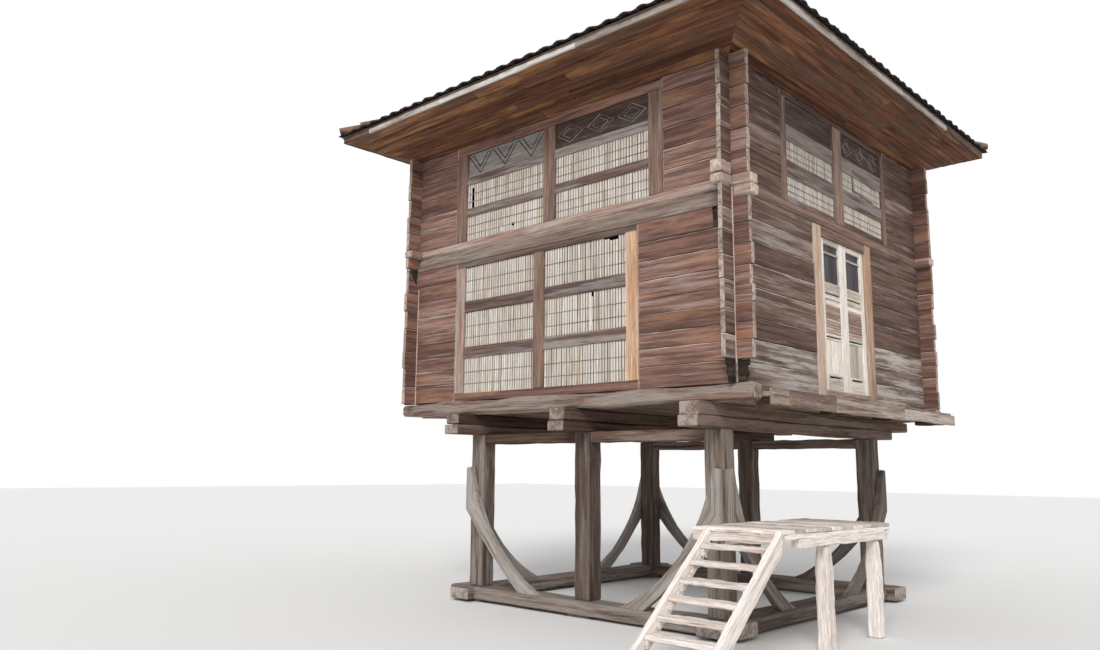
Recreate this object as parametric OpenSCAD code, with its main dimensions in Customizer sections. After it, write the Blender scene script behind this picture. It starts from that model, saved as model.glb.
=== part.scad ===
// Raised timber granary: a two-storey plank-log box on six braced posts, with a
// hipped tiled roof, lattice windows, a double-leaf door, and an outside stair
// with a landing. Millimetres, +Z up. The front (lattice) wall faces -Y and the
// door wall faces +X. The origin is on the ground under the middle front post.

/* [Walls] */
// Width of the box along the front, over the outer faces
wall_w = 5000; // [4400:50:5600]
// Depth of the box, over the outer faces
wall_d = 4900; // [4500:50:5500]
// Thickness of the wall planks
wall_t = 50; // [40:1:70]
// How far plank ends run past the crossing wall
corner_ext = 200; // [120:5:260]
// Height of the lower storey's planks, from the sill to the belt
lower_wall_h = 1980; // [1900:10:2200]
// Height of the upper storey's planks, from the belt to the eaves
upper_wall_h = 1300; // [1250:10:1500]
// Height of plank ends rotted away at the near corner
rot_h = 210; // [100:10:400]

/* [Posts and beams] */
// Height of the stones under the sleepers
pad_h = 30; // [20:5:200]
// Side of the square stones under the posts
pad_w = 380; // [320:10:460]
// Height of the ground sleepers
sleeper_h = 140; // [100:5:200]
// Length of the sleeper ends past the outer posts
sleeper_ext = 330; // [280:10:400]
// How far the ground sleepers run out past the braces that stand on them
sleeper_lip = 30; // [10:5:80]
// Side of the square posts
post_w = 220; // [180:5:240]
// Height of the posts between sleeper and cross beam
post_h = 1860; // [1600:10:2000]
// Spacing of the posts along a row
post_pitch = 1750; // [1600:10:1900]
// Distance between the centres of the front and back post rows
row_gap = 3550; // [3300:10:3800]
// Distance from the door wall to the outer posts' centres
side_inset = 400; // [300:10:500]
// Distance from the front wall to the front posts' centres
front_inset = 300; // [240:10:400]
// Height of the flat cross beams on the posts
cross_h = 120; // [90:5:160]
// Width of the flat cross beams
cross_w = 190; // [150:5:220]
// Height of the floor beams on the cross beams
floor_beam_h = 250; // [200:5:300]
// Width of the floor beams
floor_beam_w = 240; // [200:5:280]
// How far the floor beams stick out past the front and back walls
floor_beam_ext = 270; // [100:5:400]
// How far the floor beams run past the back wall
floor_beam_back = 80; // [40:5:200]
// Height of the lower part of each floor beam
under_beam_h = 115; // [80:5:150]
// Distance from the back wall to the lower part's end
under_beam_in = 480; // [200:10:700]
// Height of the sill logs under the walls
sill_h = 170; // [140:5:220]
// Width of the sill logs
sill_w = 190; // [150:5:240]
// How far the sill logs stand proud of the walls
sill_proud = 30; // [10:2:50]
// Thickness of the lower floor's boards
floor_t = 40; // [25:1:60]

/* [Braces] */
// Height of the braces' tips above the ground
brace_top = 1630; // [1500:10:1750]
// Height of the braces' feet above the ground
brace_low = 170; // [120:5:220]
// Height above the ground at which a brace's underside leaves the post
brace_crotch = 1100; // [950:10:1200]
// Reach of the braces along the sleepers, from the post's outer edge
brace_reach = 1270; // [1000:10:1350]
// Width of the braces at the foot
brace_foot = 320; // [250:10:400]
// Width of the braces at the tip
brace_tip = 80; // [50:5:120]
// Bow of the braces' upper edge
brace_sag = 230; // [120:5:260]
// Bow of the braces' under edge
brace_under_sag = 45; // [20:5:90]
// Thickness of the braces
brace_t = 80; // [60:2:100]

/* [Belt and upper floor] */
// Height of the belt beams between the storeys
belt_h = 120; // [100:5:160]
// Width of the belt beams
belt_w = 150; // [130:5:200]
// How far the belt beams stand proud of the walls
belt_proud = 22; // [10:2:40]
// How far belt beams run past the plank ends
belt_ext = 25; // [10:5:90]
// Thickness of the upper floor's boards
upper_floor_t = 40; // [25:1:60]
// Height of the upper floor's joists
joist_h = 110; // [80:5:120]
// Width of the upper floor's joists
joist_w = 100; // [80:5:140]

/* [Front windows] */
// Left edge of the lower front window, from the middle of the wall
low_win_x = -1660; // [-1800:10:-1500]
// Clear width of each light of the lower front window
low_light_w = 1240; // [1000:10:1300]
// Width of the jambs and the mullion of the lower front window
low_jamb_w = 165; // [120:5:200]
// Height of one row of lattice in the lower front window
low_light_h = 450; // [400:10:500]
// Height of the rails of the lower front window
low_rail_h = 145; // [100:5:180]
// Height of the lower front window above the sill
low_win_z = 100; // [60:5:200]
// Left edge of the upper front window, from the middle of the wall
up_win_x = -1690; // [-1800:10:-1500]
// Clear width of each light of the upper front window
up_light_w = 1390; // [1100:10:1450]
// Width of the jambs and the mullion of the upper front window
up_jamb_w = 190; // [120:5:220]
// Height of one row of lattice in the upper front window
up_light_h = 325; // [250:5:400]
// Height of the rails of the upper front window
up_rail_h = 110; // [80:5:150]
// Height of the carved panels of the upper front window
up_panel_h = 310; // [250:5:360]

/* [Side windows] */
// Distance from the front wall's face to the side window
side_win_y = 1050; // [800:10:1200]
// Clear width of each light of the side window
side_light_w = 1180; // [900:10:1250]
// Width of the side window's jambs and mullion
side_jamb_w = 110; // [90:5:160]
// Width of the side window's mullion
side_mullion_w = 230; // [120:5:240]
// Height of one row of lattice in the side window
side_light_h = 235; // [200:5:260]
// Height of the side window's rails
side_rail_h = 185; // [120:5:200]
// Height of the side window's lowest row above the belt
side_win_z = 70; // [40:5:120]

/* [Window parts] */
// Thickness of window frames
frame_t = 76; // [60:2:90]
// How far window and door frames stand proud of the wall
frame_proud = 14; // [6:1:24]
// Thickness of the lattice and of the carved panels
lattice_t = 16; // [10:1:24]
// How far lattice and panels are set back from the frame's face
lattice_set = 26; // [16:1:40]
// Width of one lattice bar
bar_w = 14; // [8:1:24]
// Widest clear gap between lattice bars
bar_gap = 100; // [80:5:160]

/* [Door] */
// Distance from the front wall's face to the near edge of the doorway
door_y = 1920; // [1700:10:2100]
// Clear width of the doorway
door_w = 1180; // [900:10:1300]
// Height of the door's head, up to the belt
door_head_h = 120; // [90:5:200]
// Height of the threshold above the sill
door_sill_h = 70; // [40:5:100]
// Width of the door jambs
door_jamb_w = 190; // [120:5:240]
// Thickness of the door leaves
leaf_t = 40; // [30:1:50]
// Width of the leaves' stiles
leaf_stile = 95; // [70:5:110]
// Height of the air slots through the leaves
leaf_slot_h = 18; // [10:1:24]
// Distance from the stiles to the ends of the air slots
leaf_slot_in = 40; // [20:5:60]
// Gap around the door leaves
leaf_gap = 6; // [5:1:10]
// Radius of the wooden hinge pins
pin_r = 13; // [8:1:15]
// Length of the hinge pins past the leaf
pin_l = 36; // [20:1:45]
// Clearance of the hinge pins in their sockets
pin_gap = 0.3; // [0.1:0.1:0.8]

/* [Ledge outside the door] */
// How far the ledge's joists stand out from the sill
ledge_w = 390; // [300:10:480]
// Distance from the front wall's face to the ledge's near end
ledge_near = 180; // [170:10:400]
// Distance from the ledge's far end to the back wall's face
ledge_far = 250; // [200:10:400]
// Distance from the ledge's ends to the outer joists' middles
ledge_joist_in = 180; // [70:5:250]
// Number of the ledge's joists
ledge_joist_n = 4; // [3:1:6]
// Height of the ledge's joists
ledge_joist_h = 110; // [80:5:140]
// Width of the ledge's joists
ledge_joist_w = 130; // [90:5:160]
// Thickness of the ledge's planks
ledge_t = 45; // [30:1:60]
// Drop from the wall's foot to the ledge
ledge_drop = 80; // [50:5:120]
// Height of the planks on edge along the ledge
ledge_rim_h = 165; // [120:5:200]
// How far the plank on edge runs past the front wall's face
ledge_rim_ext = 130; // [0:10:200]

/* [Roof] */
// Overhang of the eaves past the front and back walls
front_eave = 810; // [600:10:1000]
// Overhang of the eaves past the side walls
side_eave = 730; // [600:10:1000]
// Rise of the soffit from the wall to the eaves' edge
soffit_rise = 250; // [100:10:300]
// Thickness of the soffit boards
soffit_t = 25; // [18:1:40]
// Height of the fascia boards
fascia_h = 60; // [40:5:140]
// Thickness of the fascia boards
fascia_t = 28; // [20:1:40]
// Pitch of the roof
roof_pitch = 25; // [18:1:30]
// Thickness of the roof boarding
roof_board_t = 30; // [20:1:50]
// Thickness of the tile covering
tile_t = 55; // [40:1:80]
// How far the tiles run past the fascia
tile_lip = 45; // [20:5:80]
// Distance between rows of cover tiles along the eaves, rounded to fit
tile_pitch = 225; // [150:5:300]
// Width of a cover tile
cover_w = 165; // [100:5:200]
// Height of the cover tiles above the channels between them
cover_h = 24; // [10:1:40]
// Radius of the half-round hip and ridge tiles
cap_r = 105; // [80:5:130]
// Radius of the round tile where the hips meet
peak_r = 150; // [140:5:180]
// Hairline left at each end of the boards where they meet at the mitres
mitre_gap = 0.4; // [0.3:0.1:0.6]
// Hairline left where the roof's sloped pieces rest on each other
seat_gap = 0.2; // [0.1:0.05:0.3]

/* [Landing and stair] */
// Height of the landing
landing_h = 1100; // [1000:10:1250]
// Width of the landing
landing_w = 930; // [850:10:1000]
// Length of the landing
landing_l = 2100; // [1800:10:2300]
// Turn of the landing from the building's axes
landing_turn = -2; // [-6:0.5:0]
// Gap between the landing's edge and the corner post's brace
landing_gap = 0.3; // [0.1:0.1:3]
// Distance of the landing's near end in front of the post row
landing_y = 760; // [650:10:900]
// Thickness of the landing's boards
landing_board_t = 35; // [25:1:50]
// Height of the bearers under the boards' ends
landing_bearer_h = 45; // [35:1:60]
// Height of the beams under the bearers
landing_beam_h = 80; // [60:5:110]
// Width of the bearers and beams
landing_beam_w = 90; // [70:5:120]
// Depth of the landing's front, from the top of the boards
landing_front_h = 120; // [100:5:150]
// Distance from the landing's near end to its beams
landing_beam_in = 300; // [200:10:400]
// Thickness of the landing's posts
landing_post_w = 130; // [100:5:160]
// Distance from the landing's left edge to its left beam
landing_beam_x = 150; // [145:5:200]
// Distance from the landing's near end to its near posts
landing_post_y = 770; // [650:10:850]
// Distance between the landing's near and far posts
landing_post_gap = 1000; // [900:10:1050]
// Number of treads
tread_n = 7; // [6:1:8]
// Going of the stair, tread to tread
tread_run = 160; // [150:5:200]
// Depth of one tread
tread_d = 150; // [130:5:190]
// Thickness of one tread
tread_t = 45; // [35:1:50]
// Clear width of the stair between the stringers
stair_w = 680; // [600:10:740]
// Thickness of the stringers
stringer_t = 55; // [40:1:80]
// Depth of the stringers, square to the slope
stringer_d = 120; // [100:5:150]
// Height of the cleats under the treads' ends
cleat_h = 65; // [50:5:75]
// Length of the cleats
cleat_l = 110; // [90:5:125]
// Thickness of the cleats
cleat_t = 40; // [30:1:50]

/* [Hidden] */
sleeper_out = post_w / 2 + brace_t + sleeper_lip;
sleeper_w = post_w / 2 + sleeper_out;
right_x = post_pitch + side_inset;
left_x = right_x - wall_w;
mid_x = (left_x + right_x) / 2;
front_y = -front_inset;
back_y = front_y + wall_d;
mid_y = (front_y + back_y) / 2;
sleeper_z = pad_h + sleeper_h;
beam_z = sleeper_z + post_h;
cross_z = beam_z - cross_h;
sill_z = beam_z + floor_beam_h;
wall_z = sill_z + sill_h;
belt_z = wall_z + lower_wall_h;
upper_z = belt_z + belt_h;
eave_z = upper_z + upper_wall_h;
rim_z = eave_z + soffit_rise;
deck_z = rim_z + fascia_h;
door_z = wall_z + door_sill_h;
door_h = lower_wall_h - door_sill_h - door_head_h;
wood_dark = "#5b4238";
wood_grey = "#8d8078";
wood_pale = "#c9b9ab";
wood_brown = "#7d5a45";
clay = "#a8573d";

// A box by its low corner and size
module block(at, size) { translate(at) cube(size); }

// Posts stand at three places along each row
function post_xs() = [-post_pitch, 0, post_pitch];

// Stones under the sleepers, one below each post
module padstones() {
    color("#9a948c")
        for (x = post_xs(), y = [0, row_gap])
            block([x - pad_w / 2, y - pad_w / 2, 0], [pad_w, pad_w, pad_h]);
}

// Low edge of a sleeper from its posts' centres, for the row on the low or the high side
function sleeper_from(side) = side > 0 ? -post_w / 2 : -sleeper_out;

// Sleepers along X under the post rows, halved over the side sleepers
module long_sleepers() {
    color(wood_grey) difference() {
        for (e = [-1, 1])
            block([-post_pitch - sleeper_ext, max(e, 0) * row_gap + sleeper_from(e), pad_h],
                [2 * (post_pitch + sleeper_ext), sleeper_w, sleeper_h]);
        for (side = [-1, 1])
            block([side * post_pitch + sleeper_from(side), -row_gap, pad_h + sleeper_h / 2],
                [sleeper_w, 3 * row_gap, sleeper_h]);
    }
}

module side_sleepers() {
    color(wood_grey) difference() {
        for (side = [-1, 1])
            block([side * post_pitch + sleeper_from(side), -sleeper_ext, pad_h],
                [sleeper_w, row_gap + 2 * sleeper_ext, sleeper_h]);
        for (e = [-1, 1])
            block([-2 * post_pitch, max(e, 0) * row_gap + sleeper_from(e), pad_h - sleeper_h / 2],
                [4 * post_pitch, sleeper_w, sleeper_h]);
    }
}

module post_row(y) {
    color(wood_grey)
        for (x = post_xs())
            block([x - post_w / 2, y - post_w / 2, sleeper_z], [post_w, post_w, post_h]);
}

module front_posts() { post_row(0); }
module back_posts() { post_row(row_gap); }

// Circle through two points, bowed by sag towards the origin's side of their chord
function bow_r(a, b, sag) = (pow(norm(b - a) / 2, 2) + sag * sag) / (2 * sag);
function bow_at(a, b, sag) =
    (a + b) / 2 + [a[1] - b[1], b[0] - a[0]] / norm(b - a) * (bow_r(a, b, sag) - sag);

module bow(a, b, sag) { translate(bow_at(a, b, sag)) circle(r = bow_r(a, b, sag), $fn = 180); }

// A brace's outline, in the run from the post's outer edge and the height above the ground:
// both edges are arcs that sweep down and out from the post to the sleeper
module brace_outline() {
    difference() {
        intersection() {
            translate([0, brace_low]) square([brace_reach, brace_top - brace_low]);
            bow([0, brace_crotch], [brace_reach - brace_foot, brace_low], brace_under_sag);
        }
        bow([brace_tip, brace_top], [brace_reach, brace_low], brace_sag);
    }
}

// Braces on the front and back faces of the corner posts, running along the long sleepers
module long_braces() {
    color(wood_grey) for (s = [-1, 1])
        for (y = [-post_w / 2, row_gap + post_w / 2 + brace_t])
            translate([s * (post_pitch + post_w / 2), y, 0])
                mirror([s > 0 ? 1 : 0, 0, 0]) rotate([90, 0, 0])
                    linear_extrude(brace_t) brace_outline();
}

// Braces on the outer side faces of the corner posts, running along the side sleepers
module side_braces() {
    color(wood_grey) for (s = [-1, 1])
        for (e = [0, 1])
            translate([s * (post_pitch + post_w / 2) + (s < 0 ? -brace_t : 0),
                e * row_gap + (e * 2 - 1) * post_w / 2, 0])
                mirror([0, e, 0]) rotate([90, 0, 90])
                    linear_extrude(brace_t) brace_outline();
}

module cross_beams() {
    color(wood_dark)
        for (y = [0, row_gap])
            for (x = [-post_pitch, 0])
                block([x + post_w / 2, y - cross_w / 2, cross_z], [post_pitch - post_w, cross_w, cross_h]);
}

module floor_beams() {
    color(wood_brown)
        for (x = post_xs()) {
            y = front_y - floor_beam_ext;
            block([x - floor_beam_w / 2, y, beam_z + under_beam_h],
                [floor_beam_w, back_y + floor_beam_back - y, floor_beam_h - under_beam_h]);
            block([x - floor_beam_w / 2, y, beam_z], [floor_beam_w, back_y - under_beam_in - y, under_beam_h]);
        }
}

// Sill logs along the front and back, running past the side walls
module long_sills() {
    color(wood_brown) for (y = [front_y - sill_proud, back_y + sill_proud - sill_w])
        block([left_x - corner_ext, y, sill_z], [wall_w + 2 * corner_ext, sill_w, sill_h]);
}

// Sill logs along the sides, between the long sills
module side_sills() {
    y0 = front_y - sill_proud + sill_w;
    color(wood_brown) for (x = [left_x - sill_proud, right_x + sill_proud - sill_w])
        block([x, y0, sill_z], [sill_w, back_y + sill_proud - sill_w - y0, sill_h]);
}

// Floor boards on the floor beams, between the sills
module lower_floor() {
    in = sill_w - sill_proud;
    color(wood_brown)
        block([left_x + in, front_y + in, sill_z], [wall_w - 2 * in, wall_d - 2 * in, floor_t]);
}

// Boards on three joists between the belt beams
module upper_floor() {
    in = belt_w - belt_proud;
    edge = frame_t - frame_proud;
    color(wood_brown) {
        block([left_x + edge, front_y + edge, upper_z],
            [wall_w - 2 * edge, wall_d - 2 * edge, upper_floor_t]);
        for (x = post_xs())
            block([x - joist_w / 2, front_y + in, upper_z - joist_h],
                [joist_w, wall_d - 2 * in, joist_h]);
    }
}

// A wall along X from the sill or belt up, with a window opening
module long_wall(y, z, h, win) {
    difference() {
        block([left_x - corner_ext, y, z], [wall_w + 2 * corner_ext, wall_t, h]);
        block([win[0], y - wall_t, win[1]], [win[2], 3 * wall_t, win[3]]);
    }
}

low_win_w = 2 * low_light_w + 3 * low_jamb_w;
low_win_h = 3 * low_light_h + 2 * low_rail_h;
low_win = [mid_x + low_win_x, wall_z + low_win_z, low_win_w, low_win_h];
up_win_w = 2 * up_light_w + 3 * up_jamb_w;
up_win_h = 2 * (up_light_h + up_rail_h) + up_panel_h;
up_win = [mid_x + up_win_x, upper_z, up_win_w, up_win_h];
side_win_w = 2 * (side_light_w + side_jamb_w) + side_mullion_w;
side_win_h = upper_wall_h;

module front_wall_lower() {
    color(wood_dark) difference() {
        long_wall(front_y, wall_z, lower_wall_h, low_win);
        block([right_x + wall_t, front_y - wall_t, wall_z - 1], [corner_ext, 3 * wall_t, rot_h]);
    }
}

module front_wall_upper() {
    color(wood_dark) long_wall(front_y, upper_z, upper_wall_h, up_win);
}

module back_wall() {
    color(wood_dark) {
        block([left_x - corner_ext, back_y - wall_t, wall_z],
            [wall_w + 2 * corner_ext, wall_t, lower_wall_h]);
        long_wall(back_y - wall_t, upper_z, upper_wall_h, up_win);
    }
}

// The plank ends of a side wall that stick out past the front and back walls
module side_ends(x, z, h) {
    for (y = [front_y - corner_ext, back_y])
        block([x, y, z], [wall_t, corner_ext, h]);
}

// The plank run of a side wall between the front and back walls
module side_run(x, z, h, y0, y1) {
    block([x, y0, z], [wall_t, y1 - y0, h]);
}

inner_y0 = front_y + wall_t;
inner_y1 = back_y - wall_t;
door_y0 = front_y + door_y;
door_y1 = door_y0 + door_w;
side_win_y0 = front_y + side_win_y;

module side_window_cut(x) {
    block([x - wall_t, side_win_y0, upper_z], [3 * wall_t, side_win_w, up_cut_h()]);
}
function up_cut_h() = side_win_z + 2 * (side_light_h + side_rail_h) + up_panel_h;

module left_wall() {
    x = left_x;
    color(wood_dark) {
        side_ends(x, wall_z, lower_wall_h);
        side_ends(x, upper_z, upper_wall_h);
        side_run(x, wall_z, lower_wall_h, inner_y0, inner_y1);
        difference() {
            side_run(x, upper_z, upper_wall_h, inner_y0, inner_y1);
            side_window_cut(x);
        }
    }
}

// The door wall is in pieces: before the doorway, past it, and the upper storey
module right_wall_near() {
    x = right_x - wall_t;
    color(wood_dark) {
        block([x, front_y - corner_ext, wall_z + rot_h], [wall_t, corner_ext, lower_wall_h - rot_h]);
        side_run(x, wall_z, lower_wall_h, inner_y0, door_y0 - door_jamb_w);
    }
}

module right_wall_far() {
    x = right_x - wall_t;
    color(wood_dark) {
        side_run(x, wall_z, lower_wall_h, door_y1 + door_jamb_w, inner_y1);
        block([x, back_y, wall_z], [wall_t, corner_ext, lower_wall_h]);
    }
}

module right_wall_upper() {
    x = right_x - wall_t;
    color(wood_dark) {
        side_ends(x, upper_z, upper_wall_h);
        difference() {
            side_run(x, upper_z, upper_wall_h, inner_y0, inner_y1);
            side_window_cut(x);
        }
    }
}

// Belt beams between the storeys
module long_belts() {
    e = corner_ext + belt_ext;
    color(wood_brown) for (y = [front_y - belt_proud, back_y + belt_proud - belt_w])
        block([left_x - e, y, belt_z], [wall_w + 2 * e, belt_w, belt_h]);
}

module side_belts() {
    y0 = front_y - belt_proud + belt_w;
    y1 = back_y + belt_proud - belt_w;
    e = corner_ext + belt_ext;
    color(wood_brown) for (x = [left_x - belt_proud, right_x + belt_proud - belt_w]) {
        block([x, y0, belt_z], [belt_w, y1 - y0, belt_h]);
        block([x, front_y - e, belt_z], [belt_w, e - belt_proud, belt_h]);
        block([x, back_y + belt_proud, belt_z], [belt_w, e - belt_proud, belt_h]);
    }
}

// A window frame, flat in XY: columns of lights in rows of given heights, with rails between
function row_z(rows, rail, i) = i == 0 ? 0 : row_z(rows, rail, i - 1) + rows[i - 1] + rail;

module light_grid(x0, widths_at, w, rows, rail, z0) {
    for (x = widths_at, i = [0:len(rows) - 1])
        translate([x0 + x, z0 + row_z(rows, rail, i)]) square([w, rows[i]]);
}

// Frame in the XZ plane, with its front face at y = 0 and its back at +frame_t
module upright(t) { rotate([90, 0, 0]) translate([0, 0, -t]) linear_extrude(t) children(); }

module frame_plate(w, h, xs, light_w, rows, rail, z0) {
    upright(frame_t) difference() {
        square([w, h]);
        light_grid(0, xs, light_w, rows, rail, z0);
    }
}

// One lattice panel as a plate with square holes
module lattice_2d(w, h) {
    nx = ceil((w + bar_w) / (bar_w + bar_gap));
    nz = ceil((h + bar_w) / (bar_w + bar_gap));
    gx = (w - (nx - 1) * bar_w) / nx;
    gz = (h - (nz - 1) * bar_w) / nz;
    difference() {
        square([w, h]);
        for (i = [0:nx - 1], k = [0:nz - 1])
            translate([i == 0 ? bar_w : i * (gx + bar_w), k == 0 ? bar_w : k * (gz + bar_w)])
                square([gx - (i == 0 || i == nx - 1 ? bar_w : 0), gz - (k == 0 || k == nz - 1 ? bar_w : 0)]);
    }
}

module lattice_set_in(xs, light_w, rows, rail, z0, first, last) {
    for (x = xs, i = [first:last])
        translate([x, lattice_set, z0 + row_z(rows, rail, i)])
            upright(lattice_t) lattice_2d(light_w, rows[i]);
}

module panel_set_in(xs, light_w, rows, rail, z0, i) {
    for (x = xs)
        translate([x, lattice_set, z0 + row_z(rows, rail, i)])
            upright(lattice_t) square([light_w, rows[i]]);
}

low_rows = [low_light_h, low_light_h, low_light_h];
low_xs = [low_jamb_w, 2 * low_jamb_w + low_light_w];
up_rows = [up_light_h, up_light_h, up_panel_h];
up_xs = [up_jamb_w, 2 * up_jamb_w + up_light_w];
side_rows = [side_light_h, side_light_h, up_panel_h];
side_xs = [side_jamb_w, side_jamb_w + side_light_w + side_mullion_w];

// Where each window's frame starts: its low outer corner, facing out of its wall
module at_front_low() {
    translate([mid_x + low_win_x, front_y - frame_proud, wall_z + low_win_z]) children();
}
module at_front_up() { translate([mid_x + up_win_x, front_y - frame_proud, upper_z]) children(); }
module at_back_up() {
    translate([mid_x + up_win_x + up_win_w, back_y + frame_proud, upper_z]) rotate([0, 0, 180]) children();
}
module at_right_up() {
    translate([right_x + frame_proud, side_win_y0, upper_z]) rotate([0, 0, 90]) children();
}
module at_left_up() {
    translate([left_x - frame_proud, side_win_y0 + side_win_w, upper_z]) rotate([0, 0, -90]) children();
}

module front_lower_frame() {
    color(wood_brown) at_front_low()
        frame_plate(low_win_w, low_win_h, low_xs, low_light_w, low_rows, low_rail_h, 0);
}
module front_lower_lattice() {
    color(wood_pale) at_front_low() lattice_set_in(low_xs, low_light_w, low_rows, low_rail_h, 0, 0, 2);
}

module upper_frame() { frame_plate(up_win_w, up_win_h, up_xs, up_light_w, up_rows, up_rail_h, 0); }
module upper_lattice() { lattice_set_in(up_xs, up_light_w, up_rows, up_rail_h, 0, 0, 1); }
module side_frame() {
    frame_plate(side_win_w, up_cut_h(), side_xs, side_light_w, side_rows, side_rail_h, side_win_z);
}
module side_lattice() {
    lattice_set_in(side_xs, side_light_w, side_rows, side_rail_h, side_win_z, 0, 1);
}

module upper_long_frames() {
    color(wood_brown) { at_front_up() upper_frame(); at_back_up() upper_frame(); }
}
module upper_long_lattices() {
    color(wood_pale) { at_front_up() upper_lattice(); at_back_up() upper_lattice(); }
}
module side_window_frames() {
    color(wood_brown) { at_right_up() side_frame(); at_left_up() side_frame(); }
}
module side_lattices() {
    color(wood_pale) { at_right_up() side_lattice(); at_left_up() side_lattice(); }
}

// Carved boards in the top row of the upper windows
module carved_panels() {
    color(wood_grey) {
        at_front_up() panel_set_in(up_xs, up_light_w, up_rows, up_rail_h, 0, 2);
        at_back_up() panel_set_in(up_xs, up_light_w, up_rows, up_rail_h, 0, 2);
        at_right_up() panel_set_in(side_xs, side_light_w, side_rows, side_rail_h, side_win_z, 2);
        at_left_up() panel_set_in(side_xs, side_light_w, side_rows, side_rail_h, side_win_z, 2);
    }
}

hinge_in = leaf_t / 2 + leaf_gap;
leaf_x = right_x + frame_proud - lattice_set - leaf_t / 2;

// Jambs, head and threshold round the doorway, with sockets for the hinge pins
module door_frame() {
    x = right_x + frame_proud - frame_t;
    color(wood_pale) difference() {
        block([x, door_y0 - door_jamb_w, wall_z],
            [frame_t, door_w + 2 * door_jamb_w, lower_wall_h]);
        block([x - 1, door_y0, door_z], [frame_t + 2, door_w, door_h]);
        for (y = [door_y0 + hinge_in, door_y1 - hinge_in])
            translate([leaf_x, y, door_z - pin_l])
                cylinder(r = pin_r + pin_gap, h = door_h + 2 * pin_l, $fn = 48);
    }
}

// A leaf from its hinge line towards the meeting edge, with a round hinge stile, three
// sunk panels on its outer face and slots that air the room
leaf_panels = [[0.11, 0.22], [0.37, 0.23], [0.71, 0.26]];
leaf_slots = [0.085, 0.345, 0.63];
leaf_sink = leaf_t * 0.35;

module door_leaf() {
    w = door_w / 2 - hinge_in - leaf_gap / 2;
    h = door_h - 2 * leaf_gap;
    panel_w = w - 2 * leaf_stile + hinge_in;
    panel_y = leaf_stile - hinge_in;
    pin_h = leaf_gap + pin_l - pin_gap;
    difference() {
        union() {
            block([-leaf_t / 2, 0, 0], [leaf_t, w, h]);
            cylinder(d = leaf_t, h = h, $fn = 48);
            translate([0, 0, -pin_h]) cylinder(r = pin_r, h = h + 2 * pin_h, $fn = 48);
        }
        for (p = leaf_panels)
            block([leaf_t / 2 - leaf_sink, panel_y, h * p[0]], [leaf_t, panel_w, h * p[1]]);
        for (z = leaf_slots)
            block([-leaf_t, panel_y + leaf_slot_in, h * z],
                [3 * leaf_t, panel_w - 2 * leaf_slot_in, leaf_slot_h]);
    }
}

module near_door_leaf() {
    color(wood_pale) translate([leaf_x, door_y0 + hinge_in, door_z + leaf_gap]) door_leaf();
}
module far_door_leaf() {
    color(wood_pale) translate([leaf_x, door_y1 - hinge_in, door_z + leaf_gap]) mirror([0, 1, 0]) door_leaf();
}

// Short joists against the door side's sill, carrying the ledge
ledge_z = wall_z - ledge_t - ledge_drop;
ledge_x = right_x + sill_proud;
ledge_y = front_y + ledge_near;
ledge_l = wall_d - ledge_near - ledge_far;
ledge_step = (ledge_l - 2 * ledge_joist_in) / (ledge_joist_n - 1);

module ledge_joists() {
    color(wood_grey) for (k = [0:ledge_joist_n - 1])
        translate([ledge_x, ledge_y + ledge_joist_in + k * ledge_step, ledge_z - ledge_joist_h])
            block([0, -ledge_joist_w / 2, 0], [ledge_w, ledge_joist_w, ledge_joist_h]);
}

// Planks laid on the joists, and a weathered plank on edge along their ends
module ledge_planks() {
    color(wood_pale) {
        block([ledge_x, ledge_y, ledge_z], [ledge_w + ledge_t, ledge_l, ledge_t]);
        y = front_y - ledge_rim_ext;
        block([ledge_x + ledge_w, y, ledge_z + ledge_t - ledge_rim_h],
            [ledge_t, ledge_y + ledge_l - y, ledge_rim_h]);
    }
}

// Corners of a level rectangle at height z, set back by d from the eaves' edge
function corners(x, y, z) = [[left_x - x, front_y - y, z], [right_x + x, front_y - y, z],
    [right_x + x, back_y + y, z], [left_x - x, back_y + y, z]];
function ring(d, z) = corners(side_eave - d, front_eave - d, z);

// One side's board between two level rectangles, its mitred ends a hairline short
function between(i, a, b) = let (j = (i + 1) % 4, u = (a[j] - a[i]) / norm(a[j] - a[i]) * mitre_gap)
    [a[i] + u, a[j] - u, b[j] - u, b[i] + u];
function side_board(i, d0, z0, d1, z1) = between(i, ring(d0, z0), ring(d1, z1));

// A solid between a lower and an upper outline with the same number of corners
module slab(low, high) {
    n = len(low);
    polyhedron(points = concat(low, high), faces = concat([[for (i = [0:n - 1]) i]],
        [[for (i = [0:n - 1]) 2 * n - 1 - i]],
        [for (i = [0:n - 1]) let (j = (i + 1) % n) [i, n + i, n + j, j]]));
}

function up(points, t) = [for (p = points) p + [0, 0, t]];

// Soffit boards rise from the wall's head to the eaves' edge
module soffit() {
    color("#8a5a3a") for (i = [0:3]) {
        low = between(i, ring(fascia_t, rim_z), corners(0, 0, eave_z));
        slab(low, up(low, soffit_t));
    }
}

// Fascia boards stand on the eaves' edge, their tops bevelled to the roof's pitch
roof_slope = tan(roof_pitch);
module fascia() {
    color(wood_pale) for (i = [0:3])
        slab(side_board(i, 0, rim_z, fascia_t, rim_z),
            side_board(i, 0, deck_z - seat_gap, fascia_t, deck_z - seat_gap + fascia_t * roof_slope));
}

// The hips run in from the eaves' corners until two of them meet
hip_in = min(wall_w / 2 + side_eave, wall_d / 2 + front_eave);
hip_top = hip_in - mitre_gap;

// One side of the roof, lip past the fascia and z up: three corners where its hips meet, or four
function roof_side(i, lip, z) =
    let (q = side_board(i, -lip, z, hip_top, z + (hip_top + lip) * roof_slope))
    norm(q[3] - q[2]) < mitre_gap ? [q[0], q[1], q[2]] : q;

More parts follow.
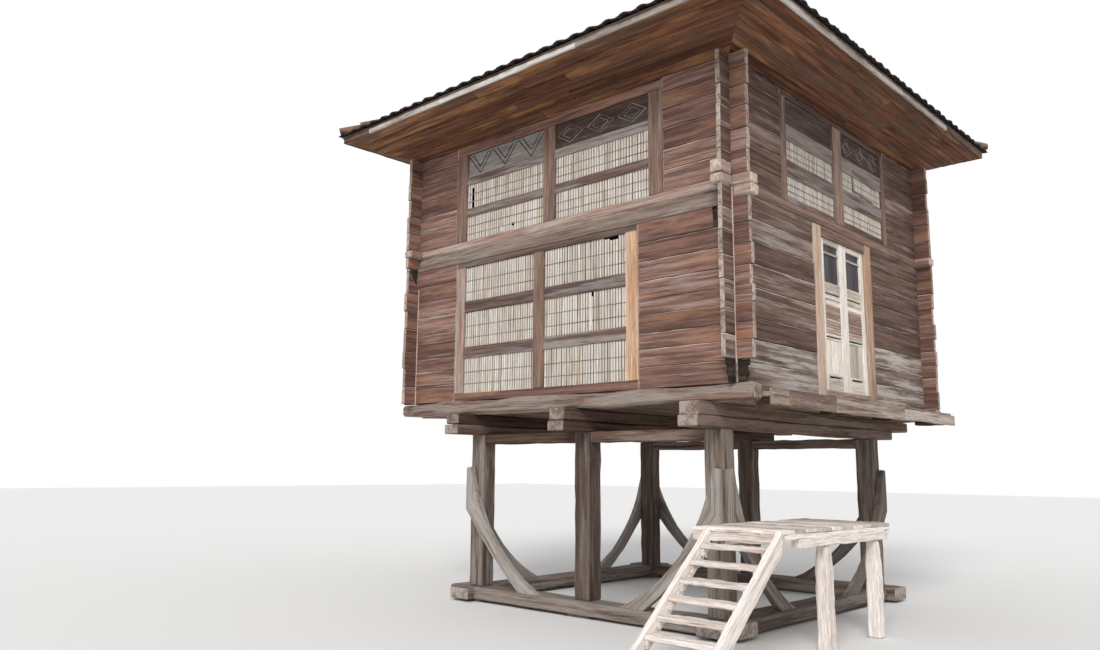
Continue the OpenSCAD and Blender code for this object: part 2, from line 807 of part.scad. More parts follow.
tile_z = deck_z + roof_board_t - tile_lip * roof_slope;
roof_top = tile_z + (hip_in + 2 * tile_lip) * roof_slope + tile_t;
module roof_deck() {
    color(wood_brown)
        for (i = [0:3]) slab(roof_side(i, 0, deck_z), up(roof_side(i, 0, deck_z), roof_board_t));
}

// Section of the tile covering across the slope: cover tiles over the joints of the channels
cover_top = tile_t * cos(roof_pitch);
module tile_section(l) {
    n = round(l / tile_pitch);
    p = l / n;
    polygon(concat([[0, 0], [0, cover_top - cover_h]],
        [for (k = [0:n - 1], c = [[-1 / 2, 0], [-1 / 4, 1], [1 / 4, 1], [1 / 2, 0]])
            [(k + 1 / 2) * p + cover_w * c[0], cover_top - cover_h * (1 - c[1])]],
        [[l, cover_top - cover_h], [l, 0]]));
}

// Each side's covering runs up the slope and is trimmed to the side's plan at the hips
module roof_tiles() {
    up_slope = (hip_in + 2 * tile_lip) / cos(roof_pitch);
    color(clay) for (i = [0:3]) {
        a = ring(-tile_lip, tile_z);
        intersection() {
            translate(a[i]) rotate([0, 0, 90 * i]) rotate([roof_pitch + 90, 0, 0])
                translate([0, 0, -up_slope]) linear_extrude(up_slope + tile_lip)
                    tile_section(norm(a[(i + 1) % 4] - a[i]));
            linear_extrude(roof_top) polygon([for (q = roof_side(i, tile_lip, 0)) [q[0], q[1]]]);
        }
    }
}

// Half-round tiles along the four hips and the ridge
module cap_bar(from, to) {
    d = to - from;
    l = norm(d);
    translate(from) rotate([0, acos(d[2] / l), atan2(d[1], d[0])]) cylinder(r = cap_r, h = l, $fn = 24);
}

module roof_caps() {
    z = deck_z + roof_board_t + tile_t;
    seat_z = tile_z + tile_t + seat_gap;
    low = ring(0, z);
    top = ring(hip_in, z + hip_in * roof_slope);
    color(clay) difference() {
        union() {
            for (i = [0:3]) cap_bar(low[i], top[i]);
            translate((top[0] + top[2]) / 2) sphere(r = peak_r, $fn = 32);
            cap_bar(top[0], top[2]);
        }
        slab(ring(-2 * tile_lip, seat_z - tile_lip * roof_slope),
            ring(hip_top, seat_z + (hip_top + tile_lip) * roof_slope));
        slab(ring(-front_eave, 0), ring(-front_eave, seat_z - tile_lip * roof_slope));
    }
}

// The landing stands by itself, turned a little from the building
module at_landing() {
    x = post_pitch + post_w / 2 + brace_t + landing_gap;
    translate([x + (landing_y - post_w / 2) * tan(landing_turn), -landing_y, 0])
        rotate([0, 0, landing_turn]) children();
}
landing_z = landing_h - landing_board_t;
bearer_z = landing_z - landing_bearer_h;
beam_foot = bearer_z - landing_beam_h;
landing_xs = [landing_beam_x, landing_w - landing_beam_w];

module landing_boards() {
    color(wood_pale) at_landing() block([0, 0, landing_z], [landing_w, landing_l, landing_board_t]);
}

// Front and back boards with bearers between them, and beams under the bearers
module landing_frame() {
    z = landing_h - landing_front_h;
    color(wood_pale) at_landing() {
        for (y = [0, landing_l - stringer_t])
            block([0, y, z], [landing_w, stringer_t, landing_z - z]);
        for (x = landing_xs) {
            block([x, stringer_t, bearer_z], [landing_beam_w, landing_l - 2 * stringer_t, landing_bearer_h]);
            block([x, landing_beam_in, beam_foot],
                [landing_beam_w, landing_l - landing_beam_in - stringer_t, landing_beam_h]);
        }
    }
}

module landing_posts() {
    w = landing_post_w;
    color(wood_pale) at_landing()
        for (y = [landing_post_y, landing_post_y + landing_post_gap])
            block([landing_w - w, y, 0], [w, w, beam_foot]);
}

rise = landing_h / (tread_n + 1);
slope = atan(rise / tread_run);
stair_x = landing_w - stringer_t - stair_w;

// A stringer in the run-height plane, its top edge running down from the landing's edge
module stringer_outline() {
    deep = stringer_d / cos(slope);
    polygon([[0, landing_h - deep], [0, landing_h],
        [landing_h / tan(slope), 0], [(landing_h - deep) / tan(slope), 0]]);
}

// A wedge cleat under each tread's end
module cleats() {
    for (k = [1:tread_n]) {
        run = tread_run * k;
        z = landing_h - rise * k - tread_t;
        polygon([[run, z], [run - cleat_l, z], [run, z - cleat_h]]);
    }
}

// Outlines in the run-height plane stand upright, t thick, from x on across the stair
module stair_cut(x, t) {
    translate([x, 0, 0]) rotate([90, 0, 90]) mirror([1, 0, 0]) linear_extrude(t) children();
}

module stair_stringers() {
    color(wood_pale) at_landing() {
        for (x = [stair_x - stringer_t, stair_x + stair_w]) stair_cut(x, stringer_t) stringer_outline();
        for (x = [stair_x, stair_x + stair_w - cleat_t]) stair_cut(x, cleat_t) cleats();
    }
}

// Treads between the stringers, each on its pair of cleats
module stair_treads() {
    color(wood_pale) at_landing() for (k = [1:tread_n])
        block([stair_x, -tread_run * k, landing_h - rise * k - tread_t], [stair_w, tread_d, tread_t]);
}

padstones();
long_sleepers();
side_sleepers();
front_posts();
back_posts();
long_braces();
side_braces();
cross_beams();
floor_beams();
long_sills();
side_sills();
lower_floor();
upper_floor();
front_wall_lower();
front_wall_upper();
back_wall();
left_wall();
right_wall_near();
right_wall_far();
right_wall_upper();
long_belts();
side_belts();
front_lower_frame();
front_lower_lattice();
upper_long_frames();
upper_long_lattices();
side_window_frames();
side_lattices();
carved_panels();
door_frame();
near_door_leaf();
far_door_leaf();
ledge_joists();
ledge_planks();
soffit();
fascia();
roof_deck();
roof_tiles();
roof_caps();
landing_frame();
landing_boards();
landing_posts();
stair_stringers();
stair_treads();
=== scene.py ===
# %% [markdown]
# This lesson dresses a raised timber granary: a plank box on six braced posts, with a
# hipped tile roof, latticed windows, a double door and a landing with an open stair.
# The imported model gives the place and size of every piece, in metres, so each board
# is cut straight to its place.

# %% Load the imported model
from contextlib import contextmanager
from math import atan2, ceil, cos, hypot, pi, radians, sin, sqrt, tan
import bmesh
import bpy
import numpy as np
from mathutils import Matrix, Vector


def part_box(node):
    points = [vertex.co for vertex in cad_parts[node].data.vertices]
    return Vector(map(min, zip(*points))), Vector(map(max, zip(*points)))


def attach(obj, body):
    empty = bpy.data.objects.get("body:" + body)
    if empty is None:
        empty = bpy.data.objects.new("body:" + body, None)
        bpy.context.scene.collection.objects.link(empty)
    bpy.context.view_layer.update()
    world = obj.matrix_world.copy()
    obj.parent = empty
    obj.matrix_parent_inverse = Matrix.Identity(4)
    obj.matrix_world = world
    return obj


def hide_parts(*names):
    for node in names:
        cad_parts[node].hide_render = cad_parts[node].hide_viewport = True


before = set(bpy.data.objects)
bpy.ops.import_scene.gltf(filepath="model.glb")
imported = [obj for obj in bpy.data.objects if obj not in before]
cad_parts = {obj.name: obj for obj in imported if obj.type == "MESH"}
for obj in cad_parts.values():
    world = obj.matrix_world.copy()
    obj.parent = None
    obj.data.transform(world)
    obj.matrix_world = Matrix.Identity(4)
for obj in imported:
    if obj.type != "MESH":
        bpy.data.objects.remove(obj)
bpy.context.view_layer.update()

rng = np.random.default_rng(929)

# %% [markdown]
# A few helpers serve every cell below. Some link, select, join and edit objects; the
# others build a finish from nodes, where a value is a number, a colour or an output.

# %% Helpers
def link(name, data):
    """Put a mesh, a lamp or a camera into the scene."""
    thing = bpy.data.objects.new(name, data)
    bpy.context.scene.collection.objects.link(thing)
    return thing


def only(*things):
    """Select these objects and nothing else."""
    for thing in list(bpy.context.selected_objects):
        thing.select_set(False)
    for thing in things:
        thing.select_set(True)
    bpy.context.view_layer.objects.active = things[0] if things else None


def joined(parts):
    """Join pieces into the first of them."""
    only(*parts)
    if len(parts) > 1:
        bpy.ops.object.join()
    return bpy.context.view_layer.objects.active


@contextmanager
def whole_mesh(piece):
    """Edit mode on one piece, with all of its mesh selected."""
    only(piece)
    bpy.ops.object.mode_set(mode="EDIT")
    bpy.ops.mesh.select_all(action="SELECT")
    yield
    bpy.ops.object.mode_set(mode="OBJECT")


def new_finish(name, rough, specular=0.5):
    """A material, its node tree and its shader."""
    material = bpy.data.materials.new(name)
    material.use_nodes = True
    shader = material.node_tree.nodes["Principled BSDF"]
    shader.inputs["Roughness"].default_value = rough
    shader.inputs["Specular IOR Level"].default_value = specular
    return material, material.node_tree, shader


def node(tree, kind, **values):
    made = tree.nodes.new(kind)
    for key, value in values.items():
        setattr(made, key, value)
    return made


def attribute(tree, name, output):
    return node(tree, "ShaderNodeAttribute", attribute_name=name).outputs[output]


def feed(tree, socket, value):
    """Link an output to a socket, or set the socket to a plain value."""
    if isinstance(value, bpy.types.NodeSocket):
        tree.links.new(value, socket)
    else:
        socket.default_value = value


def calc(tree, kind, a, b):
    made = node(tree, "ShaderNodeMath", operation=kind)
    feed(tree, made.inputs[0], a)
    feed(tree, made.inputs[1], b)
    return made.outputs[0]


def mixed(tree, factor, a, b, blend_type="MIX"):
    """Blend two colours."""
    made = node(tree, "ShaderNodeMix", data_type="RGBA", blend_type=blend_type)
    feed(tree, made.inputs[0], factor)
    for socket, colour in ((6, a), (7, b)):
        feed(tree, made.inputs[socket], (*colour, 1) if isinstance(colour, tuple) else colour)
    return made.outputs[2]


def ramp(tree, value, low, high, from_=0.0, to=1.0):
    """Spread a value from low..high to from_..to."""
    made = node(tree, "ShaderNodeMapRange", interpolation_type="SMOOTHSTEP")
    for key, number in (("From Min", low), ("From Max", high), ("To Min", from_), ("To Max", to)):
        made.inputs[key].default_value = number
    tree.links.new(value, made.inputs["Value"])
    return made.outputs["Result"]


def stretched_noise(tree, source, scale, detail, seed, roughness=0.6):
    """Noise with its own scale along each axis."""
    mapping = node(tree, "ShaderNodeMapping")
    mapping.inputs["Scale"].default_value = scale
    mapping.inputs["Location"].default_value = (seed, seed * 0.7, seed * 1.3)
    noise = node(tree, "ShaderNodeTexNoise")
    for key, number in (("Scale", 1.0), ("Detail", detail), ("Roughness", roughness)):
        noise.inputs[key].default_value = number
    tree.links.new(source, mapping.inputs["Vector"])
    tree.links.new(mapping.outputs["Vector"], noise.inputs["Vector"])
    return noise.outputs["Fac"]


def bumped(tree, shader, height, distance, strength):
    bump = node(tree, "ShaderNodeBump")
    bump.inputs["Strength"].default_value = strength
    bump.inputs["Distance"].default_value = distance
    tree.links.new(height, bump.inputs["Height"])
    tree.links.new(bump.outputs["Normal"], shader.inputs["Normal"])


# %% [markdown]
# The photograph is taken from standing height, close to the corner and looking up a
# little. The camera was worked out from the level and upright edges of the walls, so
# its place is in the same frame as the pieces. The lens is a short one: 28.9 mm on a
# 36 mm wide picture of 1100 by 650.

# %% Camera
YAW, PITCH, ROLL = radians(-42.97), radians(9.22), radians(0.50)
EYE = (6.646, -7.793, 1.616)
ahead = Vector((sin(YAW) * cos(PITCH), cos(YAW) * cos(PITCH), sin(PITCH)))
level = Vector((cos(YAW), -sin(YAW), 0))
above = level.cross(ahead)
across = level * cos(ROLL) + above * sin(ROLL)
upward = above * cos(ROLL) - level * sin(ROLL)
lens = bpy.data.cameras.new("eye")
lens.sensor_width, lens.lens, lens.clip_end = 36.0, 28.89, 200
eye = link("eye", lens)
turn = Matrix((across, upward, -ahead)).transposed().to_4x4()
eye.matrix_world = Matrix.Translation(EYE) @ turn
bpy.context.scene.camera = eye
bpy.context.scene.view_settings.view_transform = "Standard"
print("camera at", [round(v, 2) for v in eye.location])

# %% [markdown]
# The light is a plain studio: one broad soft lamp from above the camera's left
# shoulder and an even white sky. Together they light a wall at a level where a colour
# comes out about as it is written. The floor is pale and keeps the building's shadow.

# %% Floor, lamp and sky
pale_ground, _, shader = new_finish("pale_ground", 0.9)
shader.inputs["Base Color"].default_value = (0.80, 0.79, 0.77, 1)
only()
bpy.ops.mesh.primitive_plane_add(size=120, location=(0, 0, -0.002))
ground = bpy.context.object
ground.name = "ground"
ground.data.materials.append(pale_ground)

lamp = bpy.data.lights.new("soft_key", "SUN")
lamp.energy, lamp.angle = 1.9, radians(24)
link("soft_key", lamp).rotation_euler = (radians(52), 0, radians(28))

sky = bpy.data.worlds.new("sky")
sky.use_nodes = True
bpy.context.scene.world = sky
tree = sky.node_tree
rays = node(tree, "ShaderNodeLightPath").outputs
seen = calc(tree, "MAXIMUM", rays["Is Camera Ray"], rays["Is Glossy Ray"])
backdrop = mixed(tree, seen, (0.66, 0.67, 0.69), (1, 1, 1))
tree.links.new(backdrop, tree.nodes["Background"].inputs["Color"])
print("lamp", lamp.energy, "and sky set")

# %% [markdown]
# Old sawn timber is one family of finishes: long streaks of dark and light along the
# grain, fine fibres that catch the light, thin cracks, and silver-grey skin where the
# weather reaches. One recipe serves them all. It reads each board's own "grain"
# coordinates, which run along the board however the board lies, and its "tone", which
# makes neighbours differ as they do in a real wall. Where a board has a "rim", its end
# grain can differ, its upper edge can get a painted highlight, and its lower edge painted
# shade.

# %% The timber recipe
CRACK = (0.03, 0.022, 0.018)
# Colour of the painted shade under a board's lower edge.
PAINTED_UNDER_SHADE = (0.03, 0.02, 0.017)


def timber(name, light, dark, grey, worn=0.45, cracks=0.5, along=None, rough=0.86, patch=None,
           skin_size=7.5, top_highlight=None, ends=None):
    """A weathered timber. With along, it follows a world axis and not a board's own grain."""
    material, tree, shader = new_finish(name, rough, 0.25)
    if along is None:
        source, tone = attribute(tree, "grain", "Vector"), attribute(tree, "tone", "Fac")
    else:
        swing = node(tree, "ShaderNodeMapping")
        swing.inputs["Rotation"].default_value = (0, 0, {"x": 0, "y": -pi / 2}[along])
        place = node(tree, "ShaderNodeTexCoord").outputs["Object"]
        tree.links.new(place, swing.inputs["Vector"])
        source = swing.outputs["Vector"]
        tone = stretched_noise(tree, source, (0.05, 3.1, 3.1), 0, 3.0)
    streak = stretched_noise(tree, source, (0.9, 21, 21), 5, 1.0)
    broad = stretched_noise(tree, source, (0.55, 4.2, 4.2), 3, 7.0)
    fibre = stretched_noise(tree, source, (5.5, 170, 170), 3, 2.0, 0.7)
    split = stretched_noise(tree, source, (1.6, 62, 62), 2, 5.0, 0.5)
    skin = stretched_noise(tree, source, (0.8, skin_size, skin_size), 4, 11.0, 0.65)
    colour = body_colour = mixed(tree, ramp(tree, streak, 0.36, 0.66), dark, light)
    if patch:
        colour = body_colour = mixed(tree, ramp(tree, broad, 0.52, 0.66), body_colour, patch)
    lift = calc(tree, "ADD", skin,
                calc(tree, "MULTIPLY", calc(tree, "SUBTRACT", tone, 0.5), 0.26))
    bare, covered = 0.62 - worn * 0.4, 0.80 - worn * 0.4
    colour = mixed(tree, ramp(tree, lift, bare, covered), colour, grey)
    fine = mixed(tree, ramp(tree, fibre, 0.30, 0.72), (0.66, 0.64, 0.62), (1.16, 1.15, 1.14))
    colour = mixed(tree, 1.0, colour, fine, "MULTIPLY")
    if ends or top_highlight:
        rim = node(tree, "ShaderNodeSeparateXYZ")
        tree.links.new(attribute(tree, "rim", "Vector"), rim.inputs[0])
    if ends:
        end_grain = mixed(tree, ramp(tree, skin, 0.40, 0.66, 0.0, 0.75), ends, body_colour)
        end_grain = mixed(tree, 1.0, end_grain, fine, "MULTIPLY")
        at_end = ramp(tree, rim.outputs["X"], 0.006, 0.014, 1.0, 0.0)
        colour = mixed(tree, at_end, colour, end_grain)
    # A painted highlight along each board's top edge, broken up by the skin noise.
    if top_highlight:
        painted_highlight_mask = calc(tree, "MULTIPLY", ramp(tree, rim.outputs["Z"], 0.90, 0.95),
                      ramp(tree, skin, 0.40, 0.56))
        # Painted shade under each board's lower edge.
        under_shade_mask = ramp(tree, rim.outputs["Z"], -0.95, -0.91, 0.75, 0.0)
        colour = mixed(tree, painted_highlight_mask, mixed(tree, under_shade_mask, colour, PAINTED_UNDER_SHADE), top_highlight)
    open_crack = ramp(tree, split, 0.30, 0.355, 1.0, 0.0)
    colour = mixed(tree, calc(tree, "MULTIPLY", open_crack, cracks), colour, CRACK)
    shade = node(tree, "ShaderNodeCombineColor")
    for channel in ("Red", "Green", "Blue"):
        tree.links.new(ramp(tree, tone, 0.0, 1.0, 0.74, 1.26), shade.inputs[channel])
    colour = mixed(tree, 1.0, colour, shade.outputs["Color"], "MULTIPLY")
    tree.links.new(colour, shader.inputs["Base Color"])
    fibres = calc(tree, "ADD", fibre, calc(tree, "MULTIPLY", streak, 0.8))
    height = calc(tree, "SUBTRACT", fibres, calc(tree, "MULTIPLY", open_crack, 0.9))
    bumped(tree, shader, height, 0.006, 0.55)
    return material


timber("wall_timber", (0.305, 0.17, 0.134), (0.135, 0.072, 0.058), (0.315, 0.235, 0.205), 0.24,
       patch=(0.37, 0.195, 0.125), skin_size=19, top_highlight=(0.50, 0.40, 0.34), ends=(0.50, 0.41, 0.355))
timber("door_wall_timber", (0.225, 0.138, 0.107), (0.096, 0.058, 0.048), (0.31, 0.255, 0.225),
       0.24, skin_size=15, top_highlight=(0.50, 0.42, 0.36), ends=(0.50, 0.41, 0.35))
timber("washed_timber", (0.28, 0.205, 0.168), (0.125, 0.087, 0.071), (0.50, 0.455, 0.415), 0.36,
       skin_size=13, top_highlight=(0.56, 0.50, 0.45), ends=(0.50, 0.42, 0.36))
timber("lintel_timber", (0.42, 0.325, 0.27), (0.23, 0.165, 0.135), (0.44, 0.385, 0.345),
       skin_size=14)
timber("post_timber", (0.185, 0.135, 0.108), (0.085, 0.06, 0.048), (0.24, 0.205, 0.18), 0.40,
       skin_size=13, ends=(0.42, 0.37, 0.33))
timber("brace_timber", (0.32, 0.272, 0.235), (0.18, 0.145, 0.123), (0.36, 0.333, 0.305),
       skin_size=13)
timber("beam_timber", (0.24, 0.15, 0.11), (0.09, 0.055, 0.042), (0.27, 0.22, 0.19), 0.34,
       skin_size=13, ends=(0.36, 0.30, 0.26))
timber("under_timber", (0.165, 0.098, 0.068), (0.065, 0.039, 0.029), (0.20, 0.15, 0.125), 0.30,
       skin_size=13, ends=(0.36, 0.295, 0.255))
timber("belt_timber", (0.42, 0.275, 0.22), (0.22, 0.138, 0.108), (0.40, 0.33, 0.295), 0.35,
       skin_size=16, ends=(0.60, 0.50, 0.43))
timber("frame_timber", (0.40, 0.265, 0.205), (0.21, 0.128, 0.098), (0.37, 0.305, 0.27), 0.38,
       skin_size=16)
timber("rail_timber", (0.26, 0.175, 0.145), (0.115, 0.076, 0.066), (0.30, 0.262, 0.245), 0.5,
       skin_size=12)
timber("jamb_timber", (0.62, 0.41, 0.275), (0.35, 0.205, 0.13), (0.54, 0.43, 0.355), 0.42,
       skin_size=16)
timber("bright_jamb", (0.76, 0.49, 0.31), (0.48, 0.265, 0.155), (0.66, 0.53, 0.42), 0.34,
       skin_size=16)
timber("slat_timber", (0.70, 0.62, 0.53), (0.50, 0.42, 0.345), (0.64, 0.60, 0.55), cracks=0.2)
timber("carved_timber", (0.165, 0.11, 0.092), (0.075, 0.05, 0.043), (0.20, 0.17, 0.155), 0.36)
timber("pale_carved", (0.25, 0.225, 0.205), (0.15, 0.128, 0.115), (0.29, 0.27, 0.255), 0.5, 0.3)
timber("line_timber", (0.30, 0.25, 0.22), (0.17, 0.135, 0.115), (0.31, 0.28, 0.26), 0.5, 0.2)
timber("dark_timber", (0.05, 0.044, 0.048), (0.02, 0.018, 0.021), (0.075, 0.07, 0.076), 0.4,
       rough=0.6)
# Near-black timber: dark rot at the near corner's foot, and painted shade behind the gaps.
timber("rot_and_painted_shade", (0.06, 0.04, 0.03), (0.014, 0.01, 0.008), (0.10, 0.075, 0.06), 0.25)
timber("door_timber", (0.88, 0.80, 0.69), (0.62, 0.53, 0.45), (0.86, 0.81, 0.745), 0.5, 0.35)
timber("rib_timber", (0.56, 0.40, 0.32), (0.34, 0.225, 0.175), (0.58, 0.49, 0.43), 0.35, 0.3)
timber("ledge_timber", (0.42, 0.31, 0.245), (0.20, 0.13, 0.10), (0.46, 0.405, 0.37),
       skin_size=14)
timber("soffit_timber", (0.225, 0.094, 0.048), (0.082, 0.032, 0.018), (0.125, 0.072, 0.049),
       0.30, patch=(0.325, 0.16, 0.07), skin_size=14)
timber("fascia_timber", (0.56, 0.49, 0.43), (0.33, 0.27, 0.23), (0.60, 0.57, 0.54), 0.5)
timber("landing_timber", (0.86, 0.77, 0.70), (0.62, 0.50, 0.435), (0.84, 0.79, 0.75), 0.5,
       skin_size=16)
inner_x, inner_y = (timber("inner_" + axis, (0.24, 0.16, 0.11), (0.10, 0.065, 0.045),
                           (0.20, 0.17, 0.15), 0.3, along=axis) for axis in "xy")
print(len(bpy.data.materials), "finishes so far")

# %% [markdown]
# Every board starts from one blank, made as by hand: a cube whose edges are eased with
# a bevel and whose long sides are cut into short lengths. A copy of the blank is then
# drawn out to a board's real size. The eased edge keeps its width, and each short
# length wanders a few millimetres, so that no seam is ruler-straight.

# %% Blank bars and the board cutter
EASE = 0.02


def bar_blank(name, cuts):
    """A bar's mesh, its corners, and the number of the cross-section each corner is in."""
    only()
    bpy.ops.mesh.primitive_cube_add(size=1)
    bar = bpy.context.object
    bar.name = name
    with whole_mesh(bar):
        bpy.ops.mesh.bevel(offset=EASE, segments=1, affect="EDGES")
        if cuts:
            shape = bmesh.from_edit_mesh(bar.data)
            for edge in shape.edges:
                run = edge.verts[0].co - edge.verts[1].co
                edge.select_set(abs(run.x) > 0.5)
            bmesh.update_edit_mesh(bar.data)
            bpy.ops.mesh.subdivide(number_cuts=cuts)
    mesh = bar.data
    bpy.data.objects.remove(bar)
    unit = coordinates(mesh)
    share = (unit[:, 0] + 0.5 - EASE) / (1 - 2 * EASE)
    return mesh, unit, np.clip(np.round(share * (cuts + 1)), 0, cuts + 1).astype(int)


def coordinates(mesh):
    points = np.empty(len(mesh.vertices) * 3)
    mesh.vertices.foreach_get("co", points)
    return points.reshape(-1, 3)


def set_tone(mesh, value):
    shade = mesh.attributes.get("tone") or mesh.attributes.new("tone", "FLOAT", "POINT")
    shade.data.foreach_set("value", np.full(len(mesh.vertices), value, np.float32))


def mark_grain(mesh, along, tone=None):
    """Write a board's grain coordinates, which start with the one along it, and its tone."""
    grain = mesh.attributes.new("grain", "FLOAT_VECTOR", "POINT")
    grain.data.foreach_set("vector", np.asarray(along, np.float32).ravel())
    set_tone(mesh, rng.uniform(0.1, 0.9) if tone is None else tone)


blanks = {"long": bar_blank("long_bar", 11), "short": bar_blank("short_bar", 4),
          "slat": bar_blank("slat_bar", 0)}
AXES = {"x": np.eye(3), "y": np.array([[0, -1, 0], [1, 0, 0], [0, 0, 1]]),
        "z": np.array([[0, 0, -1], [0, 1, 0], [1, 0, 0]])}


def board(low, high, along="x", kind="long", wander=0.004, ease=0.006, tone=None):
    """A board between two corners, drawn out from a blank, with its grain along one axis."""
    blank, unit, station = blanks[kind]
    low, high = np.array(low, float), np.array(high, float)
    spin = AXES[along]
    size = np.abs(spin.T @ (high - low))
    ease = min(ease, size.min() * 0.3)
    outer = np.abs(unit) > 0.5 - EASE * 1.01
    drawn = np.where(outer, np.sign(unit) * (size / 2 - (0.5 - np.abs(unit)) * ease / EASE),
                     unit / (0.5 - EASE) * (size / 2 - ease))
    for axis, share in ((1, 0.4), (2, 1.0)):
        sway = rng.uniform(-1, 1, (station.max() + 1, 2)) * min(wander, size[axis] * 0.12)
        drawn[:, axis] += sway[station, (unit[:, axis] > 0).astype(int)] * share
    drawn[:, 0] += (unit[:, 0] > 0.4) * rng.uniform(-1, 1) * min(wander, 0.01)
    mesh = blank.copy()
    mesh.vertices.foreach_set("co", (drawn @ spin.T + (low + high) / 2).ravel())
    mark_grain(mesh, drawn + rng.uniform(0, 60, 3), tone)
    if kind != "slat":
        place = drawn / (size / 2)
        place[:, 0] = np.where(np.abs(unit[:, 0]) > 0.499, 0, size[0] / 2 - np.abs(drawn[:, 0]))
        rim = mesh.attributes.new("rim", "FLOAT_VECTOR", "POINT")
        rim.data.foreach_set("vector", place.astype(np.float32).ravel())
    return link("board", mesh)


def trim(piece, point, normal):
    """Cut a piece by a plane and close the cut; what lies on the normal's side goes."""
    with whole_mesh(piece):
        bpy.ops.mesh.bisect(plane_co=point, plane_no=normal, use_fill=True, clear_outer=True)


def right_way_out(piece):
    """Turn every face of a mirrored piece outwards again."""
    with whole_mesh(piece):
        bpy.ops.mesh.normals_make_consistent(inside=False)


def nail_up(name, parts, finish, nodes=(), body="body", smooth=None):
    """Join boards into one piece, finish it, hang it on its body and hide the CAD solids it stands
    for.
    """
    piece = joined(parts)
    piece.name = name
    piece.data.name = name
    piece.data.materials.clear()
    piece.data.materials.append(bpy.data.materials[finish])
    if smooth:
        bpy.ops.object.shade_smooth_by_angle(angle=radians(smooth))
    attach(piece, body)
    if nodes:
        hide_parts(*nodes)
    print(name, len(piece.data.polygons), "faces")
    return piece


print({kind: len(unit) for kind, (_, unit, _) in blanks.items()}, "corners in the blanks")

# %% [markdown]
# The walls' faces and the storeys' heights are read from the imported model, so that the
# boards below land on them exactly. The posts stand in two rows of three.

# %% Faces and heights of the box
def span(node_name, axis):
    """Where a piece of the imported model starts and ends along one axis."""
    low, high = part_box(node_name)
    return low[axis], high[axis]


LEFT, RIGHT = span("left_wall", 0)[0], span("right_wall_near", 0)[1]
FRONT, BACK = span("front_wall_lower", 1)[0], span("back_wall", 1)[1]
WALL_Z, BELT_Z = span("front_wall_lower", 2)
UPPER_Z, EAVE_Z = span("front_wall_upper", 2)
SILL_Z = span("long_sills", 2)[0]
SLEEPER_LOW, SLEEPER_TOP = span("long_sleepers", 2)
POST_X, POST_Y, POST_TOP = (-1.75, 0, 1.75), (0, 3.55), 2.03
PLANK = 0.05
ENDS = LEFT - span("front_wall_lower", 0)[0]
print("walls", *(round(v, 3) for v in (LEFT, RIGHT, FRONT, BACK)), "plank ends", round(ENDS, 3))

# %% [markdown]
# Six stones keep the sleepers off the ground. They are rough blocks: a cube is cut into
# a grid, its corners are pushed about at random, and it is shaded smooth.

# %% Stones
_, tree, shader = new_finish("field_stone", 0.92)
place = node(tree, "ShaderNodeTexCoord").outputs["Object"]
blotch = stretched_noise(tree, place, (7, 7, 7), 5, 1.0)
grit = stretched_noise(tree, place, (90, 90, 90), 3, 4.0)
stone_colour = mixed(tree, ramp(tree, blotch, 0.35, 0.68), (0.20, 0.19, 0.175), (0.42, 0.40, 0.37))
speckle = mixed(tree, grit, (0.7, 0.7, 0.7), (1.2, 1.2, 1.2))
stone_colour = mixed(tree, 1.0, stone_colour, speckle, "MULTIPLY")
tree.links.new(stone_colour, shader.inputs["Base Color"])
bumped(tree, shader, calc(tree, "ADD", blotch, grit), 0.01, 1.0)


def field_stone(x, y, wide, high, seed):
    only()
    bpy.ops.mesh.primitive_cube_add(size=1, location=(x, y, high / 2))
    stone = bpy.context.object
    stone.scale = (wide, wide, high)
    bpy.ops.object.transform_apply(location=True, rotation=True, scale=True)
    with whole_mesh(stone):
        bpy.ops.mesh.subdivide(number_cuts=4)
        bpy.ops.transform.vertex_random(offset=0.014, uniform=1.0, normal=0.0, seed=seed)
    for point in stone.data.vertices:
        point.co.z = min(max(point.co.z, 0.0), high)
    return stone


centres = [(x, y) for x in POST_X for y in POST_Y]
stones = [field_stone(x, y, 0.36, SLEEPER_LOW, 3 + i) for i, (x, y) in enumerate(centres)]
nail_up("stones", stones, "field_stone", ["padstones"], smooth=50)

# %% [markdown]
# The ground frame and the posts are heavy squared timbers. The side sleepers are made
# a millimetre or two smaller than the long ones that they cross, so that their faces
# never lie in one plane and flicker.

# %% Sleepers and posts
HEAVY = {"wander": 0.006, "ease": 0.014}
sleepers = [board((-2.08, y, SLEEPER_LOW), (2.08, y + 0.33, SLEEPER_TOP), **HEAVY)
            for y in (-0.22, 3.44)]
nail_up("ground_sleepers_long", sleepers, "post_timber", ["long_sleepers"])
sleepers = [board((x, -0.33, SLEEPER_LOW + 0.001), (x + 0.328, 3.88, SLEEPER_TOP - 0.002), "y",
                  **HEAVY) for x in (-1.969, 1.641)]
nail_up("ground_sleepers_side", sleepers, "post_timber", ["side_sleepers"])
for name, y in zip(("front_posts", "back_posts"), POST_Y):
    row = [board((x - 0.11, y - 0.11, SLEEPER_TOP), (x + 0.11, y + 0.11, POST_TOP), "z", **HEAVY)
           for x in POST_X]
    nail_up("squared_" + name, row, "post_timber", [name])

# %% [markdown]
# Curved knee braces are the building's most striking timbers. Each is sawn from a
# board so that both edges are arcs: they leave the corner post high up and sweep down
# and out to the sleeper. A bar is laid along the two arcs, station by station. The
# arcs are drawn as (out from the post, up), from one point to another, with a bow. The
# tip's end takes up TIP_SHARE of the upper arc.

# %% Curved braces
OVER_ARC = ((0.08, 1.63), (1.27, 0.17), 0.23)
UNDER_ARC = ((0.0, 1.10), (0.95, 0.17), 0.045)
TIP_SHARE = 0.17


